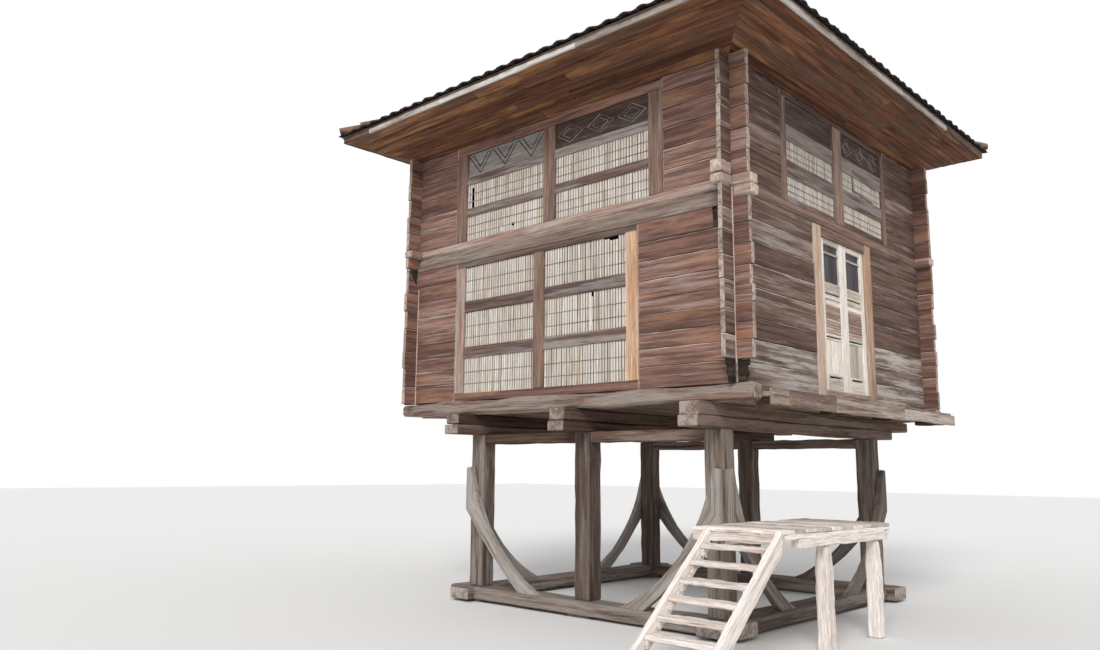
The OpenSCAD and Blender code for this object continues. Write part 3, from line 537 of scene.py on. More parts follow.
def arc(a, b, bow, share):
    """A point on the arc from a to b that bows towards the origin's side."""
    a, b = np.array(a), np.array(b)
    chord = np.linalg.norm(b - a)
    radius = (chord ** 2 / 4 + bow ** 2) / (2 * bow)
    centre = (a + b) / 2 + np.array([a[1] - b[1], b[0] - a[0]]) / chord * (radius - bow)
    start = atan2(*(a - centre)[::-1])
    end = atan2(*(b - centre)[::-1])
    swing = (end - start + pi) % (2 * pi) - pi
    angle = start + swing * share
    return centre + radius * np.array([cos(angle), sin(angle)])


def brace(to_place, thick=0.08, ease=0.008):
    """One brace; to_place turns (out, aside, up) at its post into the building's frame."""
    blank, unit, station = blanks["long"]
    last = station.max()
    shares = np.arange(1, last - 1) / (last - 2)
    over = np.array([OVER_ARC[0]] + [arc(*OVER_ARC, s) for s in (0.07, TIP_SHARE)]
                    + [arc(*OVER_ARC, TIP_SHARE + (1 - TIP_SHARE) * s) for s in shares])
    under = np.array([(0.0, 1.62), (0.0, 1.36), (0.0, 1.10)]
                     + [arc(*UNDER_ARC, s) for s in shares])
    width = np.linalg.norm(over - under, axis=1)
    inset = (0.5 - np.abs(unit[:, 2])) * ease / EASE / width[station]
    share = 0.5 + np.sign(unit[:, 2]) * (0.5 - inset)
    flat = under[station] + (over - under)[station] * share[:, None]
    flat += rng.uniform(-0.004, 0.004, (last + 1, 1))[station]
    flat[:, 0] = np.maximum(flat[:, 0], 0)
    depth = np.sign(unit[:, 1]) * (thick / 2 - (0.5 - np.abs(unit[:, 1])) * ease / EASE)
    steps = np.linalg.norm(np.diff((over + under) / 2, axis=0), axis=1)
    run = np.concatenate([[0], np.cumsum(steps)])
    mesh = blank.copy()
    points = np.array([to_place(x, d, z) for (x, z), d in zip(flat, depth)])
    mesh.vertices.foreach_set("co", points.ravel())
    grain = np.stack([run[station], share * width[station], depth], axis=1)
    mark_grain(mesh, grain + rng.uniform(0, 60, 3))
    return link("brace", mesh)


long_faces = [brace(lambda x, d, z, s=s, y=y: (s * (1.86 - x), y + d, z))
              for s in (-1, 1) for y in (-0.15, 3.70)]
side_faces = [brace(lambda x, d, z, s=s, y=y, way=way: (s * (1.90 + d), y + way * x, z))
              for s in (-1, 1) for y, way in ((-0.11, 1), (3.66, -1))]
for way, faces in (("long", long_faces), ("side", side_faces)):
    right_way_out(nail_up("knee_braces_" + way, faces, "brace_timber",
                          [way + "_braces"]))

# %% [markdown]
# Cross beams join the posts' heads, and three heavy beams lie over them from front to
# back. Each is built up of two timbers, and their ends show under the front wall.
# The sills on top are logs with an uneven underside.

# %% Beams and sills
flats = [board((x, y - 0.095, 1.91), (x + 1.53, y + 0.095, POST_TOP), wander=0.005, ease=0.01)
         for y in POST_Y for x in (-1.64, 0.11)]
nail_up("flat_cross_beams", flats, "under_timber", ["cross_beams"])
heavy = [board((x - half, y0, z0), (x + half, y1, z1), "y", "long", wander, 0.012)
         for x in POST_X for half, y0, y1, z0, z1, wander in (
             (0.12, -0.57, 4.12, POST_TOP, 2.143, 0.007), (0.112, -0.55, 4.68, 2.146, 2.28, 0.006))]
nail_up("heavy_floor_beams", heavy, "under_timber", ["floor_beams"])
logs = [board((LEFT - ENDS, y, SILL_Z), (RIGHT + ENDS, y + 0.19, WALL_Z), wander=0.014, ease=0.03)
        for y in (FRONT - 0.03, BACK - 0.16)]
nail_up("sill_logs_long", logs, "beam_timber", ["long_sills"])
logs = [board((x, FRONT + 0.16, SILL_Z), (x + 0.19, BACK - 0.16, WALL_Z), "y", wander=0.010,
              ease=0.02) for x in (LEFT - 0.03, RIGHT - 0.16)]
nail_up("sill_logs_side", logs, "beam_timber", ["side_sills"])

# %% [markdown]
# The walls are planks on edge, halved over each other at the corners so that their
# ends stand out in a cross. Each course is cut where a window or the doorway needs it.
# The planks vary in height and stand a few millimetres in or out.
#
# Three places in front are damaged. A piece has broken out of the top course beside
# the near corner, a V is missing from the plank ends at the left corner, and the foot
# of the near corner has rotted hollow. Dark boards behind them fill the gaps: at the
# foot they are dark rot, and behind the broken piece and the V they are painted shade.

# %% Courses of planks
LOW_COURSES = [WALL_Z, 2.68, 2.87, 3.04, 3.24, 3.41, 3.61, 3.83, 4.04, BELT_Z]
DOOR_COURSES = [WALL_Z, 2.68, 2.92, 3.15, 3.46, 3.705, 3.95, 4.19, BELT_Z]
LEFT_COURSES = DOOR_COURSES[:-2] + [4.30, BELT_Z]
TOP_COURSES = [UPPER_Z, 4.79, 5.02, 5.26, 5.48, 5.68, EAVE_Z]
FULL_X, FULL_Y = (LEFT - ENDS, RIGHT + ENDS), (FRONT - ENDS, BACK + ENDS)
WALLS = {"front": ("x", FULL_X, FRONT, 1), "back": ("x", FULL_X, BACK, -1),
         "left": ("y", FULL_Y, LEFT, 1), "right": ("y", FULL_Y, RIGHT, -1)}
UP_START, UP_WIDE, UP_TALL = -2.04, 3.35, 1.18
SIDE_START, SIDE_WIDE, SIDE_TALL = FRONT + 1.05, 2.81, 1.22
ROTTEN = ENDS - 0.005
GAP = (((1.930, 4.04), (1.905, 4.42)), ((2.04, 4.04), (2.04, 4.42)))
NOTCH = (((FRONT - 0.015, 4.02), (FRONT - 0.185, 4.29)),
         ((FRONT - 0.012, 4.02), (FRONT + 0.004, 4.29)))


def courses(side, heights, hole=None, run=None, first_cut=(0, 0)):
    """Planks of one wall. hole is (start, end, low, high) along the wall and up, and
    first_cut shortens the lowest course at its two ends."""
    axis, full, at, inwards = WALLS[side]
    made = []
    for k, (z0, z1) in enumerate(zip(heights, heights[1:])):
        start, end = run or full
        if k == 0:
            start, end = start + first_cut[0], end - first_cut[1]
        spans = [(start, end, z0, z1)]
        if hole and z1 > hole[2] + 0.02 and z0 < hole[3] - 0.02:
            spans = [(start, hole[0], z0, z1), (hole[1], end, z0, z1)]
            if z0 < hole[2] - 0.02:
                spans.append((hole[0], hole[1], z0, hole[2]))
            if z1 > hole[3] + 0.02:
                spans.append((hole[0], hole[1], hole[3], z1))
        proud, shade = rng.uniform(0, 0.007), rng.uniform(0.15, 0.85)
        lo, hi = sorted((at - inwards * proud, at + inwards * (PLANK - 0.004)))
        for a, b, low, high in spans:
            ragged = rng.uniform(-0.012, 0.012, 2)
            a, b = a + (ragged[0] if a == start else 0), b + (ragged[1] if b == end else 0)
            ends = ((a, lo, low), (b, hi, high)) if axis == "x" else ((lo, a, low), (hi, b, high))
            made.append(board(*ends, axis, "long" if b - a > 1.2 else "short", 0.0035, 0.005,
                              shade + rng.uniform(-0.08, 0.08)))
    return made


def broken_out(plank, first_edge, second_edge, axis=0):
    """Break a piece out of a plank between two lines, each given by two (along, up) points."""
    rest = link("board", plank.data.copy())
    for piece, (low, high), way in ((plank, first_edge, 1), (rest, second_edge, -1)):
        point, normal = Vector((LEFT, FRONT, low[1])), Vector((0, 0, way * (low[0] - high[0])))
        point[axis], normal[axis] = low[0], way * (high[1] - low[1])
        trim(piece, point, normal)
    return rest


low_hole = (*span("front_lower_frame", 0), *span("front_lower_frame", 2))
up_hole = (UP_START, UP_START + UP_WIDE, UPPER_Z, UPPER_Z + UP_TALL)
side_hole = (SIDE_START, SIDE_START + SIDE_WIDE, UPPER_Z, UPPER_Z + SIDE_TALL)
DOOR_START, DOOR_END = span("door_frame", 1)

planks = courses("front", LOW_COURSES, low_hole, first_cut=(0, ROTTEN))
left_end, right_end = planks[-3:-1]
trim(left_end, (LEFT + 0.045, FRONT, BELT_Z), (-1, 0, 0))
planks.append(broken_out(right_end, *GAP))
nail_up("front_planks_low", planks, "wall_timber", ["front_wall_lower"])
rot_and_shade_boards = []
for k, reach in enumerate((0.100, 0.122, 0.112, 0.140)):
    z0, z1 = WALL_Z + 0.004 + k * 0.054, WALL_Z + 0.066 + k * 0.054
    for low, high, along in (
            ((RIGHT - 0.06, FRONT + 0.006, z0), (RIGHT + reach, FRONT + 0.040, z1), "x"),
            ((RIGHT - 0.040, FRONT - reach, z0), (RIGHT - 0.006, FRONT + 0.01, z1), "y")):
        rot_and_shade_boards.append(board(low, high, along, "short", 0.008))
# Near-black boards behind the V and the broken piece: painted shade in the gaps.
for x0, x1, y0, y1 in ((LEFT - 0.195, LEFT + 0.08, 0.012, 0.040), (1.86, 2.07, 0.018, 0.045)):
    rot_and_shade_boards.append(board((x0, FRONT + y0, LOW_COURSES[-2]), (x1, FRONT + y1, 4.425), "x", "short",
                     0.001))
nail_up("rotten_core", rot_and_shade_boards, "rot_and_painted_shade")
planks = courses("front", TOP_COURSES, up_hole)
nail_up("front_planks_high", planks, "wall_timber", ["front_wall_upper"])
planks = courses("back", LOW_COURSES) + courses("back", TOP_COURSES, up_hole)
nail_up("back_planks", planks, "wall_timber", ["back_wall"])
planks = courses("left", LEFT_COURSES)
planks.append(broken_out(planks[-2], *NOTCH, axis=1))
planks += courses("left", TOP_COURSES, side_hole)
nail_up("left_planks", planks, "wall_timber", ["left_wall"])
near = courses("right", DOOR_COURSES, None, (FULL_Y[0], DOOR_START), (ROTTEN, 0))
far = courses("right", DOOR_COURSES, None, (DOOR_END, FULL_Y[1]))
high_up = courses("right", TOP_COURSES, side_hole)
for name, planks, finish, nodes in (
        ("washed", near[:2] + far[:3], "washed_timber", []),
        ("near", near[2:], "door_wall_timber", ["right_wall_near"]),
        ("far", far[3:], "door_wall_timber", ["right_wall_far"]),
        ("high", high_up, "door_wall_timber", ["right_wall_upper"])):
    nail_up("door_side_planks_" + name, planks, finish, nodes)
strips = [board((x, FRONT - 0.013, z0), (x + 0.013, FRONT + 0.004, z1), "z", wander=0.002,
                ease=0.003, tone=0.8)
          for x, z0, z1 in ((LEFT + PLANK - 0.004, WALL_Z, 4.02),
                            (RIGHT - 0.001, WALL_Z + 0.19, BELT_Z))]
nail_up("corner_strips", strips, "jamb_timber")

# %% [markdown]
# Belt beams lie between the storeys and run past the plank ends as rounded stubs. A
# few small blocks lie on the stubs and below them at the two front corners.

# %% Belts
STUB, BELT = 0.225, 0.15
belts = [board((LEFT - STUB, y, BELT_Z), (RIGHT + STUB, y + BELT, UPPER_Z), wander=0.006,
               ease=0.022) for y in (FRONT - 0.022, BACK + 0.022 - BELT)]
nail_up("belt_beams_long", belts, "belt_timber", ["long_belts"])
belts = []
for x in (LEFT - 0.022, RIGHT + 0.022 - BELT):
    for y0, y1, slack, kind, ease in (
            (FRONT + 0.128, BACK - 0.128, 0.002, "long", 0.012),
            (FRONT - STUB, FRONT - 0.022, 0.004, "short", 0.022),
            (BACK + 0.022, BACK + STUB, 0.004, "short", 0.022)):
        belts.append(board((x, y0, BELT_Z + slack), (x + BELT, y1, UPPER_Z - slack), "y", kind,
                           ease=ease))
for low, high, along, tone in (
        ((RIGHT + 0.018 - 0.13, FRONT - STUB - 0.008, UPPER_Z),
         (RIGHT + 0.018, FRONT - 0.02, UPPER_Z + 0.125), "y", 0.8),
        ((RIGHT + 0.02, FRONT - 0.02, BELT_Z - 0.11),
         (RIGHT + STUB + 0.012, FRONT + 0.118, BELT_Z), "x", 0.9),
        ((LEFT - STUB - 0.008, FRONT - 0.02, UPPER_Z),
         (LEFT - 0.02, FRONT + 0.118, UPPER_Z + 0.13), "x", 0.8)):
    belts.append(board(low, high, along, "short", ease=0.014, tone=tone))
nail_up("belt_beams_side", belts, "belt_timber", ["side_belts"])

# %% [markdown]
# Each window is a frame of jambs, a mullion and rails, with a lattice of thin slats
# pegged in its openings: upright slats every 40 mm, with two level ones across. A helper
# turns plain wall coordinates (along, out, up) into the place on each wall, so that
# one description serves all four sides. A pale lintel board lies over the lower window.

# %% Windows
SLAT_PITCH = 0.040
TORN = {"front": ((0.27, 0.305, 3.54, 3.59), (0.50, 0.60, 4.17, 4.19), (0.56, 0.66, 4.15, 4.19),
                  (-1.775, -1.735, 4.985, 5.26), (-1.00, -0.96, 4.61, 4.65))}
THIN = {"kind": "slat", "wander": 0.001, "ease": 0.002}


def on_wall(side, along, out, up):
    """A point seen on a wall: along from its left end, out from its face, up in height."""
    return {"front": (along, FRONT - out, up), "right": (RIGHT + out, along, up),
            "back": (along, BACK + out, up), "left": (LEFT - out, along, up)}[side]


def wall_board(side, a, b, low, high, face, back, upright=False, **more):
    """A board on a wall from a to b along it, with its outer face and back measured out."""
    ends = on_wall(side, a, face, low), on_wall(side, b, back, high)
    lo, hi = (tuple(pick(pair) for pair in zip(*ends)) for pick in (min, max))
    return board(lo, hi, "z" if upright else WALLS[side][0], **more)


def window_frame(side, start, light, jambs, rows, rails, foot, top, base, tones=(None,) * 3):
    """Uprights and rails. light is the two openings' width; rows are their heights."""
    uprights, levels = [], []
    x = start
    for k, jamb in enumerate(jambs):
        uprights.append(wall_board(side, x, x + jamb, foot, top, 0.012 + 0.002 * (k % 2), -0.060,
                                   True, wander=0.003, ease=0.005, tone=tones[k]))
        x += jamb
        if k == 2:
            break
        z = base
        for row, rail in zip(rows, rails):
            z += row
            levels.append(wall_board(side, x - 0.01, x + light + 0.01, z, z + rail, 0.004, -0.056,
                                     kind="short", ease=0.005))
            z += rail
        if base > foot:
            levels.append(wall_board(side, x - 0.01, x + light + 0.01, foot, base, 0.004, -0.056,
                                     kind="short"))
        x += light
    return uprights, levels


def lattice(side, a, b, low, high):
    """The slats of one opening, less the places in TORN, and two level rungs."""
    slats = []
    steps = round((b - a) / SLAT_PITCH)
    for i in range(steps):
        x = a + (b - a) * (i + 0.5) / steps + rng.uniform(-0.0018, 0.0018)
        spans = [(low, high)]
        for gap in TORN.get(side, ()):
            if gap[0] < x < gap[1]:
                spans = ([(p, min(q, gap[2])) for p, q in spans if gap[2] > p]
                         + [(max(p, gap[3]), q) for p, q in spans if gap[3] < q])
        half = rng.uniform(0.0140, 0.0162)
        slats += [wall_board(side, x - half, x + half, p, q, -0.013, -0.021, True,
                             tone=rng.uniform(0.50, 0.78), **THIN)
                  for p, q in spans if q - p > 0.02]
    # The rungs are real, but their dark rail finish is a painted shadow line across the pale slats.
    rungs = [wall_board(side, a, b, z - 0.004, z + 0.004, -0.007, -0.013, tone=0.8, **THIN)
             for z in (low + (high - low) * 0.27, low + (high - low) * 0.60)]
    return slats, rungs


def fill(side, starts, light, base, rows, rails):
    """The lattices of one window, from its base up."""
    slats, rungs = [], []
    for x in starts:
        z = base
        for row, rail in zip(rows, (*rails, 0)):
            made = lattice(side, x, x + light, z, z + row)
            slats += made[0]
            rungs += made[1]
            z += row + rail
    return slats, rungs


LOW_BASE, LOW_TOP = 2.55, 4.19
x0 = low_hole[0]
rows, rails = (0.45, 0.45, 0.45), (0.145, 0.145)
uprights, levels = window_frame("front", x0, 1.24, (0.165,) * 3, rows, rails, LOW_BASE, LOW_TOP,
                                LOW_BASE, tones=(0.75, 0.25, 0.5))
# The right jamb gets its own brighter finish: painted sunlight on it.
sunny = uprights.pop()
set_tone(sunny.data, 0.55)
nail_up("lower_window_right_jamb", [sunny], "bright_jamb")
nail_up("lower_window_uprights", uprights, "frame_timber", ["front_lower_frame"])
lintel = wall_board("front", LEFT + 0.03, RIGHT - 0.10, 4.265, 4.42, 0.020, 0.0, wander=0.006)
nail_up("lintel_board", [lintel], "lintel_timber")
slats, rungs = fill("front", (x0 + 0.165, x0 + 1.57), 1.24, LOW_BASE, rows, rails)
nail_up("lower_window_lattice", slats, "slat_timber", ["front_lower_lattice"])
# The dark head strip under the lintel is a dark slot with painted shadow from the lintel on it.
head = wall_board("front", x0 + 0.02, x0 + 2.96, 4.193, 4.262, 0.006, 0.0, wander=0.002, tone=0.05)
nail_up("lower_window_rails", levels + rungs + [head], "rail_timber")
stick = wall_board("front", 0.275, 0.300, 3.150, 3.590, -0.004, -0.0125, True, kind="short",
                   wander=0.002, tone=0.8)
nail_up("lower_window_stick", [stick], "slat_timber")

# The columns: name, sides, hole, starts of the two lights and their width, jambs,
# heights of the rows and of the rails between them, base, and the nodes.
WINDOWS = (
    ("upper_window", ("front", "back"), up_hole, (0.19, 1.77), 1.39, (0.19, 0.19, 0.19),
     (0.325, 0.325, 0.31), (0.11, 0.11), UPPER_Z, ("upper_long_frames", "upper_long_lattices")),
    ("side_window", ("right", "left"), side_hole, (0.11, 1.52), 1.18, (0.11, 0.23, 0.11),
     (0.235, 0.235, 0.31), (0.185, 0.185), UPPER_Z + 0.07, ("side_window_frames", "side_lattices")))
for name, sides, hole, starts, light, jambs, rows, rails, base, nodes in WINDOWS:
    uprights, levels, lattices = [], [], []
    for side in sides:
        made = window_frame(side, hole[0], light, jambs, rows, rails, UPPER_Z, hole[3], base)
        slats, rungs = fill(side, [hole[0] + x for x in starts], light, base, rows[:2], rails)
        uprights += made[0]
        levels += made[1] + rungs
        lattices += slats
    nail_up(name + "_uprights", uprights, "frame_timber", nodes[:1])
    nail_up(name + "_rails", levels, "rail_timber")
    nail_up(name + "_lattices", lattices, "slat_timber", nodes[1:])

# %% [markdown]
# The top row of each upper window holds a carved board. One has a double zigzag cut
# dark into a pale board, others a row of faint double lozenges on dark wood, and one
# is plain. The lines are slim bars turned in the panel's plane and laid on it.

# %% Carved panels
def carved_line(side, a, up_a, b, up_b, thick, out=-0.009):
    """A slim raised bar from one point of a wall to another."""
    bar = wall_board(side, -0.5, 0.5, -thick / 2, thick / 2, out, out - 0.008, kind="slat",
                     wander=0, ease=0.003)
    length = hypot(b - a, up_b - up_a)
    angle = atan2(up_b - up_a, b - a)
    flat = "xy".index(WALLS[side][0])
    for point in bar.data.vertices:
        along, high = point.co[flat] * length, point.co.z
        point.co[flat] = (a + b) / 2 + along * cos(angle) - high * sin(angle)
        point.co.z = (up_a + up_b) / 2 + along * sin(angle) + high * cos(angle)
    return bar


def zigzag(side, a, b, low, high):
    """Three double chevrons that hang from the top of a board."""
    step = (b - a) / 3
    made = []
    for k in range(3):
        for nested in (0.0, 0.075):
            p, q = a + k * step + nested + 0.01, a + (k + 1) * step - nested - 0.01
            foot = low + nested * 2 * (high - low) / step
            made.append(carved_line(side, p, high, (p + q) / 2, foot, 0.010))
            made.append(carved_line(side, (p + q) / 2, foot, q, high, 0.010))
    return made


def lozenges(side, a, b, low, high):
    """Three double lozenges in a row."""
    step = (b - a) / 3
    made = []
    for k in range(3):
        x, z = a + (k + 0.5) * step, (low + high) / 2
        for share in (0.86, 0.52):
            w, h = step / 2 * share, (high - low) / 2 * share
            corners = ((x - w, z), (x, z + h), (x + w, z), (x, z - h), (x - w, z))
            made += [carved_line(side, *p, *q, 0.009) for p, q in zip(corners, corners[1:])]
    return made


PAD = 0.025
CARVED = {"front": "zl", "back": "lz", "right": "pl", "left": "lp"}
boards, pale_boards, dark_lines, pale_lines = [], [], [], []
for _, sides, hole, starts, light, _, rows, rails, base, _ in WINDOWS:
    low = base + sum(rows[:2]) + sum(rails)
    high = low + rows[2]
    for side in sides:
        for start, kind in zip(starts, CARVED[side]):
            x = hole[0] + start
            panel = wall_board(side, x, x + light, low, high, -0.016, -0.027, kind="short",
                               wander=0.001)
            (pale_boards if kind == "z" else boards).append(panel)
            if kind == "z":
                dark_lines += zigzag(side, x, x + light, low + PAD, high - PAD)
            elif kind == "l":
                pale_lines += lozenges(side, x, x + light, low + PAD, high - PAD)
nail_up("carved_boards", boards, "carved_timber", ["carved_panels"])
nail_up("carved_boards_pale", pale_boards, "pale_carved")
right_way_out(nail_up("carved_zigzags", dark_lines, "dark_timber"))
right_way_out(nail_up("carved_lozenges", pale_lines, "line_timber"))
loose = [carved_line("right", 2.58, 5.335, 3.33, 5.275, 0.045, 0.012),
         carved_line("right", 2.60, 5.30, 2.61, 5.08, 0.03, 0.0),
         carved_line("right", 2.60, 5.085, 3.20, 5.062, 0.018, 0.0)]
right_way_out(nail_up("side_window_loose_strips", loose, "line_timber"))

# %% [markdown]
# The doorway has broad orange-brown jambs. Its two leaves are framed: pale stiles and
# rails round a dark sunk panel above, a ribbed panel in the middle and a plain board
# below, with air slots through the rails. Each leaf rides on its own hinge.

# %% Door frame and leaves
JAMB, STILE = 0.190, 0.095
PIN, PIN_RADIUS = 0.036, 0.0128
FRAME = (0.013, -0.060)
# The near jamb's higher tone is painted light, and the far jamb's lower tone painted shade.
parts = [wall_board("right", y, y + JAMB, WALL_Z, BELT_Z, *FRAME, True, wander=0.003, tone=tone)
         for y, tone in ((DOOR_START, 0.85), (DOOR_END - JAMB, 0.5))]
nail_up("door_surround", parts, "jamb_timber", ["door_frame"])
inside = (DOOR_START + JAMB, DOOR_END - JAMB)
# The head takes the darker frame finish at a low tone: painted shade.
head = wall_board("right", *inside, 4.31, BELT_Z, *FRAME, kind="short", wander=0.002, tone=0.2)
nail_up("door_head", [head], "frame_timber")
threshold = wall_board("right", *inside, WALL_Z, 2.52, *FRAME, kind="short", wander=0.002)
nail_up("door_threshold", [threshold], "ledge_timber")


def leaf(low, high):
    """The boards, the ribs and the dark panel of a leaf; heights are shares of the leaf's."""
    z0, tall = low[2] + PIN, high[2] - PIN - (low[2] + PIN)
    a, b, inner, outer = low[1], high[1], low[0], high[0]

    def slab(y_a, y_b, foot, top, face=outer, back=inner, way="y", wander=0.0015, ease=0.004,
             tone=None):
        return board((back, y_a, z0 + tall * foot), (face, y_b, z0 + tall * top), way, "short",
                     wander, ease, tone)

    pieces = [slab(a, a + STILE, 0, 1, way="z", tone=0.7),
              slab(b - STILE, b, 0, 1, way="z", tone=0.75)]
    p, q = a + STILE, b - STILE
    pieces += [slab(p, q, 0, 0.083), slab(p, q, 0.096, 0.11), slab(p, p + 0.04, 0.083, 0.096),
               slab(q - 0.04, q, 0.083, 0.096)]
    w = (q - p) / 3
    pieces += [slab(p + k * w, p + (k + 1) * w, 0.11, 0.33, outer - 0.006, inner + 0.008, "z")
               for k in range(3)]
    pieces += [slab(p, q, 0.33, 0.344), slab(p, q, 0.356, 0.37),
               slab(p, q, 0.37, 0.60, outer - 0.018, inner + 0.006)]
    ribs = [slab(p, q, 0.375 + k * 0.0195, 0.389 + k * 0.0195, outer - 0.004, outer - 0.02,
                 ease=0.003) for k in range(10)]
    pieces += [slab(p, q, 0.60, 0.628), slab(p, q, 0.64, 0.71), slab(p, q, 0.965, 1.0),
               slab(p, q, 0.90, 0.915, outer - 0.006, outer - 0.016)]
    sunk = slab(p, q, 0.71, 0.965, outer - 0.022, inner + 0.006, "z", 0.001, 0.006)
    return pieces, ribs, sunk


def hinge_pin(x, y, z):
    """A short wooden pin, its foot at z."""
    only()
    bpy.ops.mesh.primitive_cylinder_add(vertices=16, radius=PIN_RADIUS, depth=PIN,
                                        location=(x, y, z + PIN / 2))
    pin = bpy.context.object
    bpy.ops.object.transform_apply(location=True)
    with whole_mesh(pin):
        bpy.ops.mesh.bevel(offset=0.002, segments=1)
    mark_grain(pin.data, [(v.co.z, v.co.y, v.co.x) for v in pin.data.vertices])
    return pin


for name in ("near", "far"):
    source = name + "_door_leaf"
    low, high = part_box(source)
    pieces, ribs, sunk = leaf(low, high)
    hinge = low[1] + 0.02 if name == "near" else high[1] - 0.02
    pins = [hinge_pin((low[0] + high[0]) / 2, hinge, z) for z in (low[2], high[2] - PIN)]
    nail_up(name + "_leaf", pieces, "door_timber", [source], body=source)
    nail_up(name + "_leaf_ribs", ribs, "rib_timber", body=source)
    nail_up(name + "_leaf_dark_panel", [sunk], "dark_timber", body=source)
    nail_up(name + "_leaf_pins", pins, "door_timber", body=source)

# %% [markdown]
# Outside the door wall a narrow ledge rests on short joists. Planks on edge close its
# outer side in four uneven lengths, as they were patched over the years.

# %% Ledge
low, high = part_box("ledge_joists")
mids = [low[1] + 0.065 + k * (high[1] - low[1] - 0.13) / 3 for k in range(4)]
joists = [board((low[0], y - 0.065, low[2]), (high[0], y + 0.065, high[2]), "x", "short", 0.005,
                0.01) for y in mids]
nail_up("ledge_joist_ends", joists, "under_timber", ["ledge_joists"])
EDGE = 0.045
low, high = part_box("ledge_planks")
near_y, far_y = FRONT + 0.18, high[1]
w = (high[0] - low[0] - EDGE) / 3
planks = [board((low[0] + k * w, near_y, high[2] - EDGE),
                (low[0] + (k + 1) * w - 0.003, far_y, high[2]), "y") for k in range(3)]
for a, b, drop, lift, tone in (
        (low[1], low[1] + 0.31, 0.0, 0.012, 0.45), (low[1] + 0.32, 0.88, 0.008, 0.0, 0.2),
        (0.89, 2.68, 0.0, 0.0, 0.55), (2.69, far_y, 0.03, 0.01, 0.8)):
    planks.append(board((high[0] - EDGE, a, low[2] + lift), (high[0], b, high[2] - drop), "y",
                        "long", 0.006, 0.006, tone))
nail_up("ledge_boards", planks, "ledge_timber", ["ledge_planks"])

# %% [markdown]
# The roof is built one side at a time. Each side has its own local measure: along the
# eaves, inwards from them, and up. The same boards and tiles are laid for every side,
# turned into place, and trimmed at the hips where two sides meet.

# %% Roof sides
EAVE_LOW, EAVE_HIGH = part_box("fascia")
SIDES = ("front", "right", "back", "left")
FASCIA, SOFFIT = 0.028, 0.025


def roof_side(side, inset):
    """Corner, length and turn of one side's outer line, inset from the eaves."""
    xa, ya = EAVE_LOW[0] + inset, EAVE_LOW[1] + inset
    xb, yb = EAVE_HIGH[0] - inset, EAVE_HIGH[1] - inset
    start = {"front": (xa, ya), "right": (xb, ya), "back": (xb, yb), "left": (xa, yb)}[side]
    return start, xb - xa if side in ("front", "back") else yb - ya, SIDES.index(side) * pi / 2


def on_side(start, z, turn, tilt):
    return (Matrix.Translation((start[0], start[1], z)) @ Matrix.Rotation(turn, 4, "Z")
            @ Matrix.Rotation(tilt, 4, "X"))


def mitre(piece, start, length, turn, own=1.0, beside=1.0):
    """Trim a roof side's piece at both its hips; own and beside are the two sides' depths."""
    for along, lean in ((0.0, atan2(beside, -own)), (length, atan2(beside, own))):
        corner = (start[0] + along * cos(turn), start[1] + along * sin(turn), 0)
        trim(piece, corner, (cos(turn + lean), sin(turn + lean), 0))


low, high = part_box("soffit")
fall = high[2] - low[2] - SOFFIT
whole = []
for side in SIDES:
    start, length, turn = roof_side(side, FASCIA)
    own, beside = FRONT - low[1], LEFT - low[0]
    if side in ("right", "left"):
        own, beside = beside, own
    tilt = -atan2(fall, own)
    edges = [hypot(own, fall) * k / 6 for k in range(7)]
    parts = []
    for a, b in zip(edges, edges[1:]):
        half = length * rng.uniform(0.35, 0.65)
        for p, q in ((0.0, half), (half + 0.003, length)):
            parts.append(board((p, a, rng.uniform(0, 0.004)),
                               (q, b - 0.003, SOFFIT * cos(tilt)), wander=0.002, ease=0.003))
    run = joined(parts)
    run.data.transform(on_side(start, high[2] - SOFFIT, turn, tilt))
    mitre(run, start, length, turn, own, beside)
    whole.append(run)
right_way_out(nail_up("soffit_boards", whole, "soffit_timber", ["soffit"]))

parts, dark_ends = [], []
for side in SIDES:
    start, length, turn = roof_side(side, 0.0)
    if side in ("front", "back"):
        seams = [0.0, 0.60, length * 0.32, length * 0.67, length - 0.60, length]
    else:
        seams = [FASCIA, 0.42, length * 0.55, length - 1.45, length - FASCIA]
    run = []
    for a, b in zip(seams, seams[1:]):
        run.append(board((a, 0, 0), (b - 0.002, FASCIA, EAVE_HIGH[2] - EAVE_LOW[2] - 0.012),
                         ease=0.004))
        run[-1].data.transform(on_side(start, EAVE_LOW[2], turn, 0))
    dark_ends += [run[0], run[-1]]
    parts += run[1:-1]
nail_up("fascia_boards", parts, "fascia_timber", ["fascia"])
nail_up("fascia_dark_ends", dark_ends, "under_timber")

# %% [markdown]
# The roof is covered with curved clay tiles: hollow ones laid as channels, with round
# ones over their joints, and larger round ones along the hips. One tile of each kind
# is modelled from a length of tube, cut to an arc, thickened and narrowed at its upper
# end. Copies are laid in rows up each side. Their lowest edge carries painted shade,
# nearly black.

# %% Clay tiles
ROOF_PITCH = radians(25)
LIP, SEAT = 0.045, span("roof_tiles", 2)[0]
COLUMN, ROW, ROWS = 0.225, 0.25, 16
COVER_LIFT, CHANNEL_LIFT = 0.020, 0.038
CAP_ROW, CAP_LIP, CAP_SEAT = 0.31, 0.02, span("roof_deck", 2)[0] + 0.048
KNOB = 0.15


